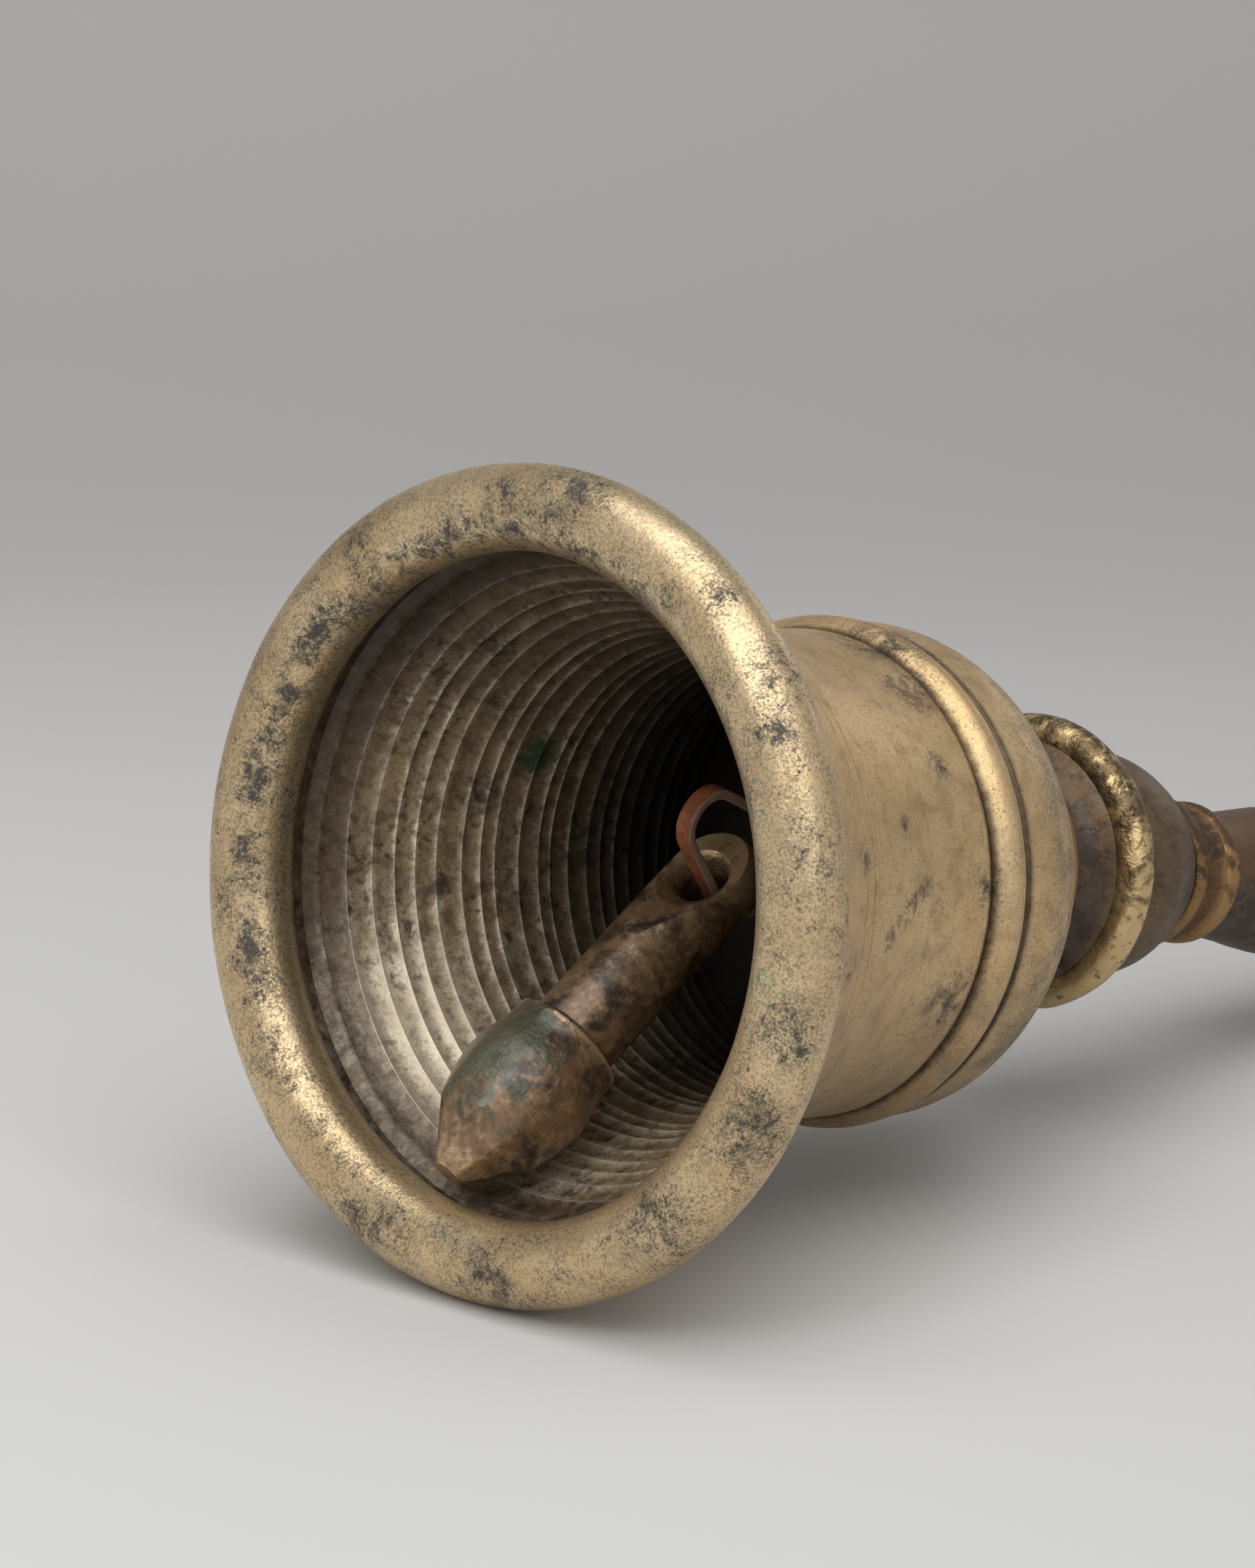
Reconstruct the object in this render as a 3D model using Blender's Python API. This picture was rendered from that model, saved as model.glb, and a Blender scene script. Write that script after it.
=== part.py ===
"""Sanctus bell: a cast bronze hand bell lying on its side, with a stacked turned handle.

The bell rests on its lip and on the knop at the end of the handle.  X runs from the mouth to
the handle, Z is up, and the origin is under the middle of the bell on the surface it lies on.
Stations along the bell's own axis are measured from the front of the lip.
"""
import math

import bmesh
import bpy
from mathutils import Matrix, Vector

# All sizes are in metres.
GAP = 0.0003                    # clearance between pieces that touch on the real bell

# Bell: lip, waist, bead and crown
MOUTH_RADIUS = 0.0500           # outermost radius of the rolled lip
LIP_ROLL = 0.0052               # radius of the lip's round section
LIP_LAND = 0.0020               # width of the worn flat that the bell stands on
WALL = 0.0033                   # thickness of the waist
FLARE_ROOT_DROP = 0.0006        # the waist leaves the lip this far inside its centre circle
WAIST_RADIUS = 0.0307           # narrowest outside radius
WAIST_END = 0.0540              # station where the flare has died out
FLARE_POWER = 2.16              # how sharply the flare opens towards the lip
INCISED_STATION = 0.0250        # first of the two turned lines on the flare
INCISED_PITCH = 0.0020
INCISED_WIDTH = 0.0008
INCISED_DEPTH = 0.0004
BEAD_STATION = 0.0606           # middle of the raised bead under the shoulder
BEAD_WIDTH = 0.0054
BEAD_HEIGHT = 0.0012
BEAD_GROOVE = 0.0005            # depth of the groove on each side of the bead
SHOULDER_RADIUS = 0.0316
SHOULDER_STATION = 0.0680       # station where the dome begins
DOME_HEIGHT = 0.0215            # from the shoulder to the seat of the handle
DOME_FULLNESS = 0.0084          # how far the shoulder runs on before it turns over
SEAT_RADIUS = 0.0166            # flat on the crown that carries the handle
CROWN_THICKNESS = 0.0040
CROWN_INNER_RADIUS = 0.0105     # flat under the crown

# Tang: iron rod through the handle with a forged eye inside the bell
TANG_RADIUS = 0.0030
TANG_SHOULDER_RADIUS = 0.0055
TANG_SHOULDER_LENGTH = 0.0018
EYE_DROP = 0.0238               # from the crown's inner flat to the eye's bearing bar
EYE_INNER_RADIUS = 0.0045
EYE_WIRE = 0.0018
RIVET_RADIUS = 0.0042
RIVET_HEIGHT = 0.0020
WASHER_THICKNESS = 0.0012
CROWN_WASHER_RADIUS = 0.0085
END_WASHER_RADIUS = 0.0052

# Handle, from the crown to the end
BASE_RING_RADIUS = 0.0172
BASE_RING_LENGTH = 0.0036
NECK_LENGTH = 0.0080
NECK_FOOT_RADIUS = 0.0156
NECK_WAIST_RADIUS = 0.0132
NECK_HEAD_RADIUS = 0.0164
COLLAR_RADIUS = 0.0196
COLLAR_EDGE_RADIUS = 0.0168
COLLAR_LENGTH = 0.0054
HANDLE_LEAN = math.radians(4.9)  # the handle above the collar is bent towards the table
KNOP_LENGTH = 0.0202
KNOP_BASE_RADIUS = 0.0138
KNOP_RADIUS = 0.0153
KNOP_TOP_RADIUS = 0.0102
KNOP_CREST = 0.40               # where the knop is fullest, as a share of its length
KNOP_RING_LENGTH = 0.0026
KNOP_RING_RADIUS = 0.0106
STEM_COVE_LENGTH = 0.0050
STEM_RADIUS = 0.0096
STEM_COVE_RADIUS = 0.0091
STEM_RING_LENGTH = 0.0034
STEM_RING_RADIUS = 0.0098
GRIP_LENGTH = 0.0496
GRIP_FOOT_RADIUS = 0.0085
GRIP_RADIUS = 0.0106
GRIP_HEAD_RADIUS = 0.0066
GRIP_CREST = 0.48
GRIP_RING_LENGTH = 0.0036
GRIP_RING_RADIUS = 0.0088
END_KNOP_RADIUS = 0.0125
END_KNOP_NECK_RADIUS = 0.0066
END_KNOP_FLAT_RADIUS = 0.0056

# Leather thong between the eye and the clapper
SWING_ROLL = math.radians(11.3)  # the clapper's plane of swing is rolled from the vertical
THONG_WIDTH = 0.0024
THONG_THICKNESS = 0.0013
THONG_LENGTH = 0.0213           # from the eye's bar to the clapper's eye
THONG_DROOP = math.radians(5.1)  # the loop sags this much from the bell's axis
BIGHT_RADIUS = 0.0040           # round end that stands out in front of the clapper
BIGHT_REACH = 0.0085            # from the clapper's eye to the bight, along the eye
HEEL_RADIUS = 0.0030            # turn behind the clapper's head
HEEL_REACH = 0.0038
THONG_OFFSET = 0.0004           # the strip lies this much nearer the end of the head

# Clapper, measured from its striking tip
CLAPPER_LENGTH = 0.0570
CLAPPER_TIP_RADIUS = 0.0027
CLAPPER_CONE_LENGTH = 0.0065
CLAPPER_CONE_RADIUS = 0.0070
CLAPPER_BULB_STATION = 0.0145
CLAPPER_BULB_RADIUS = 0.0086
CLAPPER_STEP_STATION = 0.0214
CLAPPER_STEP_RADIUS = 0.0076
CLAPPER_SHANK_RADIUS = 0.0059
CLAPPER_HEAD_THICKNESS = 0.0060
CLAPPER_FLAT_LENGTH = 0.0195    # length of the two flats on the head
CLAPPER_EYE_DIAMETER = 0.0064
CLAPPER_EYE_INSET = 0.0081      # from the end of the head to the middle of its eye

BELL_SEGMENTS = 54
HANDLE_SEGMENTS = 26
SMALL_SEGMENTS = 20

# Stations that follow from the sizes above
LIP_CENTRE_RADIUS = MOUTH_RADIUS - LIP_ROLL
FLARE_RADIUS = LIP_CENTRE_RADIUS - FLARE_ROOT_DROP
FLARE_STATION = LIP_ROLL + math.sqrt(LIP_ROLL ** 2 - FLARE_ROOT_DROP ** 2)
SEAT_STATION = SHOULDER_STATION + DOME_HEIGHT
CROWN_STATION = SEAT_STATION - CROWN_THICKNESS
BAR_STATION = CROWN_STATION - EYE_DROP
BASE_RING_START = SEAT_STATION + GAP
NECK_START = BASE_RING_START + BASE_RING_LENGTH + GAP
COLLAR_START = NECK_START + NECK_LENGTH + GAP
COLLAR_END = COLLAR_START + COLLAR_LENGTH
BEND_STATION = COLLAR_END + GAP / 2
KNOP_START = GAP / 2
KNOP_RING_START = KNOP_START + KNOP_LENGTH + GAP
STEM_COVE_START = KNOP_RING_START + KNOP_RING_LENGTH + GAP
STEM_RING_START = STEM_COVE_START + STEM_COVE_LENGTH + GAP
GRIP_START = STEM_RING_START + STEM_RING_LENGTH + GAP
GRIP_RING_START = GRIP_START + GRIP_LENGTH + GAP
END_KNOP_START = GRIP_RING_START + GRIP_RING_LENGTH + GAP
END_KNOP_CENTRE = END_KNOP_START + math.sqrt(END_KNOP_RADIUS ** 2 - END_KNOP_NECK_RADIUS ** 2)
END_KNOP_END = END_KNOP_CENTRE + math.sqrt(END_KNOP_RADIUS ** 2 - END_KNOP_FLAT_RADIUS ** 2)
END_WASHER_START = END_KNOP_END + GAP
RIVET_START = END_WASHER_START + WASHER_THICKNESS + GAP
BORE = TANG_RADIUS + GAP
CLAPPER_EYE_STATION = CLAPPER_LENGTH - CLAPPER_EYE_INSET


def clear_scene():
    """Remove whatever the file starts with."""
    for obj in list(bpy.data.objects):
        bpy.data.objects.remove(obj, do_unlink=True)


def make_material(name, colour, roughness, metallic):
    """Plain Principled material in the piece's own colour."""
    material = bpy.data.materials.new(name)
    material.use_nodes = True
    shader = material.node_tree.nodes["Principled BSDF"]
    shader.inputs["Base Color"].default_value = (*colour, 1.0)
    shader.inputs["Roughness"].default_value = roughness
    shader.inputs["Metallic"].default_value = metallic
    return material


def make_empty(name, parent, location=(0.0, 0.0, 0.0), rotation=(0.0, 0.0, 0.0)):
    """Empty that carries a joint axis or an assembly's frame."""
    empty = bpy.data.objects.new(name, None)
    empty.parent = parent
    empty.location = location
    empty.rotation_euler = rotation
    bpy.context.scene.collection.objects.link(empty)
    return empty


def add_object(name, bm, material, parent, sharp=40.0):
    """Put a bmesh into the scene as one named, smooth-shaded object."""
    bmesh.ops.recalc_face_normals(bm, faces=bm.faces[:])
    mesh = bpy.data.meshes.new(name)
    bm.to_mesh(mesh)
    bm.free()
    mesh.shade_smooth()
    mesh.set_sharp_from_angle(angle=math.radians(sharp))
    if material is not None:
        mesh.materials.append(material)
    obj = bpy.data.objects.new(name, mesh)
    obj.parent = parent
    bpy.context.scene.collection.objects.link(obj)
    return obj


def add_cutter(name, bm, parent):
    """Hidden helper for a Boolean."""
    obj = add_object(name, bm, None, parent)
    obj.hide_render = True
    obj.display_type = 'WIRE'
    return obj


def add_boolean(obj, other, operation):
    """Cut or join with the exact solver."""
    modifier = obj.modifiers.new(operation.title(), 'BOOLEAN')
    modifier.operation = operation
    modifier.solver = 'EXACT'
    modifier.object = other


def turned(outline, segments, closed):
    """Spin an outline of (radius, station) points round Z, with a flat facing +X.

    A closed outline goes round a bore; an open one starts and ends on the axis.
    """
    bm = bmesh.new()
    half = math.pi / segments
    points = []
    for radius, station in outline:
        corner = (radius * math.cos(half), -radius * math.sin(half), station)
        points.append(bm.verts.new(corner))
    edges = [bm.edges.new(pair) for pair in zip(points, points[1:])]
    if closed:
        edges.append(bm.edges.new((points[-1], points[0])))
    bmesh.ops.spin(bm, geom=points + edges, cent=(0.0, 0.0, 0.0), axis=(0.0, 0.0, 1.0),
                   angle=2.0 * math.pi, steps=segments, use_merge=True)
    bmesh.ops.remove_doubles(bm, verts=bm.verts[:], dist=0.000001)
    return bm


def arc(centre, radius, start, end, count):
    """Points on a circle in the (radius, station) plane, angles from +radius towards +station."""
    points = []
    for i in range(count + 1):
        angle = start + (end - start) * i / count
        points.append((centre[0] + radius * math.cos(angle), centre[1] + radius * math.sin(angle)))
    return points


def bezier(first, control, last, count):
    """Points on a quadratic curve, both ends included."""
    points = []
    for i in range(count + 1):
        t = i / count
        weights = ((1.0 - t) ** 2, 2.0 * t * (1.0 - t), t * t)
        points.append(tuple(sum(w * p[k] for w, p in zip(weights, (first, control, last)))
                            for k in (0, 1)))
    return points


def waist_radius(station):
    """Outside radius of the flared waist."""
    share = (WAIST_END - station) / (WAIST_END - FLARE_STATION)
    share = min(1.0, max(0.0, share))
    return WAIST_RADIUS + (FLARE_RADIUS - WAIST_RADIUS) * share ** FLARE_POWER


def shell_outline():
    """Section of the bell as (radius, station) points, outside first, then back inside.

    Returns the whole closed outline, and the inside alone from the lip to the crown.
    """
    centre = (LIP_CENTRE_RADIUS, LIP_ROLL)
    land = math.asin(0.5 * LIP_LAND / LIP_ROLL)
    front = -0.5 * math.pi
    back = math.acos(-FLARE_ROOT_DROP / LIP_ROLL)
    outside = arc(centre, LIP_ROLL, front + land, back, 8)

    lines = [INCISED_STATION + k * INCISED_PITCH for k in (0, 1)]
    stations = [FLARE_STATION + (lines[0] - FLARE_STATION) * share for share in (0.2, 0.45, 0.7)]
    outside += [(waist_radius(s), s) for s in stations]
    for line in lines:
        for offset, depth in ((-0.5, 0.0), (0.0, INCISED_DEPTH), (0.5, 0.0)):
            station = line + offset * INCISED_WIDTH
            outside.append((waist_radius(station) - depth, station))
    bead_start = BEAD_STATION - 0.5 * BEAD_WIDTH
    start = lines[1] + INCISED_WIDTH
    for share in (0.2, 0.4, 0.65, 0.9):
        station = start + (bead_start - start) * share
        outside.append((waist_radius(station), station))
    root = WAIST_RADIUS - BEAD_GROOVE
    outside.append((root, bead_start))
    for i in range(1, 6):
        share = i / 6.0
        radius = root + (BEAD_HEIGHT + BEAD_GROOVE) * math.sin(math.pi * share) ** 0.7
        outside.append((radius + (SHOULDER_RADIUS - WAIST_RADIUS) * share,
                        bead_start + BEAD_WIDTH * share))
    outside.append((SHOULDER_RADIUS - BEAD_GROOVE, bead_start + BEAD_WIDTH))
    outside.append((SHOULDER_RADIUS, bead_start + BEAD_WIDTH + BEAD_GROOVE))
    outside += bezier((SHOULDER_RADIUS, SHOULDER_STATION),
                      (SHOULDER_RADIUS, SHOULDER_STATION + DOME_FULLNESS),
                      (SEAT_RADIUS, SEAT_STATION), 6)

    inside = arc(centre, LIP_ROLL, front - land, -math.pi - math.radians(50.0), 5)
    inner_start = FLARE_STATION + 0.25 * LIP_ROLL
    for share in (0.0, 0.15, 0.32, 0.52, 0.75, 1.0):
        station = inner_start + (WAIST_END - inner_start) * share
        inside.append((waist_radius(station) - WALL, station))
    inner_shoulder = SHOULDER_RADIUS - WALL
    inside += bezier((inner_shoulder, SHOULDER_STATION - 0.5 * WALL),
                     (inner_shoulder, SHOULDER_STATION + DOME_FULLNESS - 0.5 * WALL),
                     (CROWN_INNER_RADIUS, CROWN_STATION), 5)
    outline = outside + [(BORE, SEAT_STATION), (BORE, CROWN_STATION)] + inside[::-1]
    return outline, inside


def ease(share):
    """Smooth step from 0 to 1."""
    return 0.5 - 0.5 * math.cos(math.pi * share)


def bead_side(edge, crest, start, length, count=8):
    """Half-round moulding between two edges of one radius."""
    points = []
    for i in range(count + 1):
        angle = math.pi * i / count
        points.append((edge + (crest - edge) * math.sin(angle),
                       start + length * ease(i / count)))
    return points


def cove_side(foot, waist, head, start, length, count=6):
    """Hollow moulding through three radii."""
    points = []
    for i in range(count + 1):
        u = i / count
        radius = foot * (1 - u) * (1 - 2 * u) + waist * 4 * u * (1 - u) + head * u * (2 * u - 1)
        points.append((radius, start + length * u))
    return points


def knop_side(foot, crest, head, where, start, length, rise, fall):
    """Full moulding that swells to a crest and falls away again."""
    points = []
    for i in range(rise):
        u = i / rise
        points.append((foot + (crest - foot) * math.sin(0.5 * math.pi * u), start + length * where * u))
    for i in range(fall + 1):
        u = i / fall
        points.append((head + (crest - head) * math.cos(0.5 * math.pi * u),
                       start + length * (where + (1.0 - where) * u)))
    return points


def vase_side(foot, crest, head, where, start, length, rise, fall):
    """Long slender swelling with easy ends."""
    points = []
    for i in range(rise):
        u = i / rise
        points.append((foot + (crest - foot) * ease(u), start + length * where * u))
    for i in range(fall + 1):
        u = i / fall
        points.append((crest + (head - crest) * ease(u), start + length * (where + (1.0 - where) * u)))
    return points


def bored(side):
    """Close a handle moulding's outline round the tang's bore."""
    return side + [(BORE, side[-1][1]), (BORE, side[0][1])]


def make_shell(parent, material):
    """Bell casting with its lip, bead, crown and open mouth."""
    outline, _ = shell_outline()
    return add_object("bell_shell", turned(outline, BELL_SEGMENTS, True), material, parent, 35.0)


def make_tang(parent, material):
    """Iron tang: forged eye, shoulder under the crown, bent rod and riveted end."""
    shoulder_end = CROWN_STATION - WASHER_THICKNESS - 2.0 * GAP
    shoulder_start = shoulder_end - TANG_SHOULDER_LENGTH
    eye_centre = BAR_STATION + EYE_INNER_RADIUS + EYE_WIRE
    eye_top = eye_centre + EYE_INNER_RADIUS
    neck = 0.5 * (eye_top + shoulder_start)
    steps = [
        (0.75 * EYE_WIRE, eye_top + 0.35 * EYE_WIRE), (TANG_RADIUS, neck),
        (TANG_RADIUS, shoulder_start), (TANG_SHOULDER_RADIUS, shoulder_start),
        (TANG_SHOULDER_RADIUS, shoulder_end), (TANG_RADIUS, shoulder_end),
        (TANG_RADIUS, BEND_STATION),
        (TANG_RADIUS, BEND_STATION + RIVET_START), (RIVET_RADIUS, BEND_STATION + RIVET_START),
        (0.85 * RIVET_RADIUS, BEND_STATION + RIVET_START + 0.55 * RIVET_HEIGHT),
        (0.45 * RIVET_RADIUS, BEND_STATION + RIVET_START + RIVET_HEIGHT),
    ]
    bm = bmesh.new()
    rings = []
    for radius, station in steps:
        past = station - BEND_STATION
        if past > 0.0:
            frame = Matrix.Translation((0.0, 0.0, BEND_STATION)) @ Matrix.Rotation(HANDLE_LEAN, 4, 'Y')
            frame = frame @ Matrix.Translation((0.0, 0.0, past))
        else:
            turn = 0.5 * HANDLE_LEAN if past == 0.0 else 0.0
            frame = Matrix.Translation((0.0, 0.0, station)) @ Matrix.Rotation(turn, 4, 'Y')
        ring = []
        for k in range(SMALL_SEGMENTS):
            angle = 2.0 * math.pi * k / SMALL_SEGMENTS
            ring.append(bm.verts.new(frame @ Vector((radius * math.cos(angle),
                                                     radius * math.sin(angle), 0.0))))
        rings.append(ring)
    for lower, upper in zip(rings, rings[1:]):
        for k in range(SMALL_SEGMENTS):
            n = (k + 1) % SMALL_SEGMENTS
            bm.faces.new((lower[k], lower[n], upper[n], upper[k]))
    bm.faces.new(rings[0][::-1])
    bm.faces.new(rings[-1])
    tang = add_object("handle_tang", bm, material, parent)

    eye = bmesh.new()
    section = []
    for k in range(10):
        angle = 2.0 * math.pi * k / 10
        section.append(eye.verts.new((EYE_INNER_RADIUS + EYE_WIRE + EYE_WIRE * math.cos(angle),
                                      EYE_WIRE * math.sin(angle), 0.0)))
    edges = [eye.edges.new((section[k], section[(k + 1) % 10])) for k in range(10)]
    bmesh.ops.spin(eye, geom=section + edges, cent=(0.0, 0.0, 0.0), axis=(0.0, 1.0, 0.0),
                   angle=2.0 * math.pi, steps=30, use_merge=True)
    bmesh.ops.remove_doubles(eye, verts=eye.verts[:], dist=0.000001)
    # The eye lies across the plane of swing, so that its lowest bar carries the thong's loop.
    place = Matrix.Translation((0.0, 0.0, eye_centre))
    place = place @ Matrix.Rotation(SWING_ROLL + 0.5 * math.pi, 4, 'Z')
    eye.transform(place)
    ring = add_cutter("tang_eye_join", eye, parent)
    add_boolean(tang, ring, 'UNION')
    return tang


def make_washer(name, radius, start, parent, material):
    """Flat washer on the tang with eased edges."""
    ease_edge = 0.25 * WASHER_THICKNESS
    end = start + WASHER_THICKNESS
    side = [(radius - ease_edge, start), (radius, start + ease_edge), (radius, end - ease_edge),
            (radius - ease_edge, end)]
    return add_object(name, turned(bored(side), SMALL_SEGMENTS, True), material, parent)


def make_knop(parent, material):
    """Domed knop, cut square to the bell's axis where it beds on the collar."""
    side = knop_side(KNOP_BASE_RADIUS, KNOP_RADIUS, KNOP_TOP_RADIUS, KNOP_CREST,
                     KNOP_START, KNOP_LENGTH, 5, 8)
    skirt = 2.0 * KNOP_BASE_RADIUS * math.tan(HANDLE_LEAN)
    side = [(KNOP_BASE_RADIUS, KNOP_START - skirt)] + side
    bm = turned(bored(side), HANDLE_SEGMENTS, True)
    normal = Vector((-math.sin(HANDLE_LEAN), 0.0, math.cos(HANDLE_LEAN)))
    cut = bmesh.ops.bisect_plane(bm, geom=bm.verts[:] + bm.edges[:] + bm.faces[:],
                                 plane_co=normal * KNOP_START, plane_no=normal, clear_inner=True)
    rim = [item for item in cut["geom_cut"] if isinstance(item, bmesh.types.BMEdge)]
    bmesh.ops.bridge_loops(bm, edges=rim)
    return add_object("domed_knop", bm, material, parent)


def make_end_knop(parent, material):
    """Ball knop that ends the handle."""
    start = -math.acos(END_KNOP_NECK_RADIUS / END_KNOP_RADIUS)
    end = math.acos(END_KNOP_FLAT_RADIUS / END_KNOP_RADIUS)
    side = arc((0.0, END_KNOP_CENTRE), END_KNOP_RADIUS, start, end, 12)
    return add_object("end_knop", turned(bored(side), HANDLE_SEGMENTS, True), material, parent)


def make_handle(bell, handle, metals):
    """Turned mouldings threaded on the tang, from the crown to the end."""
    pieces = [
        ("base_ring", bell, "worn", bead_side(BASE_RING_RADIUS - 0.35 * BASE_RING_LENGTH,
                                              BASE_RING_RADIUS, BASE_RING_START,
                                              BASE_RING_LENGTH, 6)),
        ("neck_cove", bell, "dark", cove_side(NECK_FOOT_RADIUS, NECK_WAIST_RADIUS,
                                              NECK_HEAD_RADIUS, NECK_START, NECK_LENGTH)),
        ("collar_ring", bell, "gold", bead_side(COLLAR_EDGE_RADIUS, COLLAR_RADIUS,
                                                COLLAR_START, COLLAR_LENGTH, 9)),
        ("knop_ring", handle, "worn", bead_side(KNOP_RING_RADIUS - 0.2 * KNOP_RING_LENGTH,
                                                KNOP_RING_RADIUS, KNOP_RING_START,
                                                KNOP_RING_LENGTH)),
        ("stem_cove", handle, "dark", cove_side(STEM_RADIUS, STEM_COVE_RADIUS, STEM_RADIUS,
                                                STEM_COVE_START, STEM_COVE_LENGTH)),
        ("stem_ring", handle, "gold", bead_side(STEM_RING_RADIUS - 0.3 * STEM_RING_LENGTH,
                                                STEM_RING_RADIUS, STEM_RING_START,
                                                STEM_RING_LENGTH, 6)),
        ("grip", handle, "dark", vase_side(GRIP_FOOT_RADIUS, GRIP_RADIUS, GRIP_HEAD_RADIUS,
                                           GRIP_CREST, GRIP_START, GRIP_LENGTH, 6, 7)),
        ("grip_ring", handle, "gold", bead_side(GRIP_RING_RADIUS - 0.3 * GRIP_RING_LENGTH,
                                                GRIP_RING_RADIUS, GRIP_RING_START,
                                                GRIP_RING_LENGTH, 6)),
    ]
    for name, parent, metal, side in pieces:
        add_object(name, turned(bored(side), HANDLE_SEGMENTS, True), metals[metal], parent)
    make_knop(handle, metals["dark"])
    make_end_knop(handle, metals["dark"])
    make_washer("end_washer", END_WASHER_RADIUS, END_WASHER_START, handle, metals["gold"])


def loop_round(circles):
    """Closed centre line drawn tight round three circles, anticlockwise.

    Each circle is (centre, radius).  Returns points with their outward directions.
    """
    normals = []
    for i, (centre, radius) in enumerate(circles):
        other, other_radius = circles[(i + 1) % len(circles)]
        apart = other - centre
        heading = math.atan2(apart.y, apart.x)
        normals.append(heading - math.acos((radius - other_radius) / apart.length))
    points = []
    for i, (centre, radius) in enumerate(circles):
        start = normals[i - 1]
        sweep = (normals[i] - start) % (2.0 * math.pi)
        steps = max(3, round(sweep / math.radians(15.0)))
        for k in range(steps + 1):
            angle = start + sweep * k / steps
            out = Vector((math.cos(angle), math.sin(angle)))
            points.append((centre + radius * out, out))
        other, other_radius = circles[(i + 1) % len(circles)]
        out = Vector((math.cos(normals[i]), math.sin(normals[i])))
        first = centre + radius * out
        last = other + other_radius * out
        for k in range(1, 5):
            points.append((first.lerp(last, k / 5.0), out))
    return points


def thong_path(angle):
    """Centre line of the thong in the swing plane as (station, up) points from the eye's bar.

    It goes round the eye's bar, straight through the clapper's eye and round the bight.
    """
    eye = Vector((-THONG_LENGTH * math.cos(THONG_DROOP), -THONG_LENGTH * math.sin(THONG_DROOP)))
    head = Vector((math.cos(angle), math.sin(angle)))
    through = Vector((-head.y, head.x))
    strand = eye + THONG_OFFSET * head
    bight = strand + BIGHT_REACH * through + BIGHT_RADIUS * head
    heel = strand - HEEL_REACH * through + HEEL_RADIUS * head
    bar = EYE_WIRE + 2.0 * GAP + 0.5 * THONG_THICKNESS
    return loop_round([(bight, BIGHT_RADIUS), (heel, HEEL_RADIUS), (Vector((0.0, 0.0)), bar)])


def make_thong(parent, angle, material):
    """Flat leather strip sewn into a stiff loop, with eased edges."""
    bm = bmesh.new()
    half_w = 0.5 * THONG_WIDTH
    half_t = 0.5 * THONG_THICKNESS
    ease_edge = 0.3 * half_t
    section = [(half_t, half_w - ease_edge), (half_t - ease_edge, half_w),
               (ease_edge - half_t, half_w), (-half_t, half_w - ease_edge),
               (-half_t, ease_edge - half_w), (ease_edge - half_t, -half_w),
               (half_t - ease_edge, -half_w), (half_t, ease_edge - half_w)]
    rings = []
    for point, out in thong_path(angle):
        ring = []
        for depth, width in section:
            place = point + depth * out
            ring.append(bm.verts.new((-place.y, width, place.x)))
        rings.append(ring)
    for i, ring in enumerate(rings):
        following = rings[(i + 1) % len(rings)]
        for k in range(len(section)):
            n = (k + 1) % len(section)
            bm.faces.new((ring[k], ring[n], following[n], following[k]))
    return add_object("thong", bm, material, parent, 50.0)


def clapper_side():
    """Clapper's outline as (radius, distance from the tip) points, axis to axis."""
    chamfer = 0.35 * CLAPPER_TIP_RADIUS
    step = CLAPPER_STEP_STATION
    round_head = CLAPPER_LENGTH - 1.15 * CLAPPER_SHANK_RADIUS
    points = [(0.0, 0.0), (CLAPPER_TIP_RADIUS - chamfer, 0.0), (CLAPPER_TIP_RADIUS, chamfer),
              (CLAPPER_CONE_RADIUS, CLAPPER_CONE_LENGTH)]
    swell = CLAPPER_BULB_STATION - CLAPPER_CONE_LENGTH
    for u in (0.4, 0.75, 1.0):
        points.append((CLAPPER_CONE_RADIUS + (CLAPPER_BULB_RADIUS - CLAPPER_CONE_RADIUS)
                       * math.sin(0.5 * math.pi * u), CLAPPER_CONE_LENGTH + swell * u))
    lip = 0.25 * (CLAPPER_STEP_RADIUS - CLAPPER_SHANK_RADIUS)
    for u in (0.35, 0.7, 1.0):
        points.append((CLAPPER_BULB_RADIUS + (CLAPPER_STEP_RADIUS - CLAPPER_BULB_RADIUS) * ease(u),
                       CLAPPER_BULB_STATION + (step - CLAPPER_BULB_STATION) * u))
    points.append((CLAPPER_STEP_RADIUS, step + 2.0 * lip))
    points.append((CLAPPER_SHANK_RADIUS, step + 4.0 * lip))
    points.append((CLAPPER_SHANK_RADIUS, round_head))
    for u in (0.35, 0.65, 0.87):
        points.append((CLAPPER_SHANK_RADIUS * math.cos(0.5 * math.pi * u),
                       round_head + (CLAPPER_LENGTH - round_head) * math.sin(0.5 * math.pi * u)))
    points.append((0.0, CLAPPER_LENGTH))
    return points


def eye_centre_point():
    """Middle of the clapper's eye in the swing plane, as (down, station)."""
    return (THONG_LENGTH * math.sin(THONG_DROOP), BAR_STATION - THONG_LENGTH * math.cos(THONG_DROOP))


def clapper_frame(angle):
    """Clapper in the swing plane when its shank makes an angle with the bell's axis.

    Returns the tip's place and the direction from the tip to the head, as (down, station) pairs.
    """
    head = (-math.sin(angle), math.cos(angle))
    eye = eye_centre_point()
    tip = (eye[0] - CLAPPER_EYE_STATION * head[0], eye[1] - CLAPPER_EYE_STATION * head[1])
    return tip, head


def segment_distance(point, first, last):
    """Distance from a point to a straight segment in the plane."""
    dx = last[0] - first[0]
    dy = last[1] - first[1]
    share = ((point[0] - first[0]) * dx + (point[1] - first[1]) * dy) / (dx * dx + dy * dy)
    share = min(1.0, max(0.0, share))
    return math.hypot(point[0] - first[0] - share * dx, point[1] - first[1] - share * dy)


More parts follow.
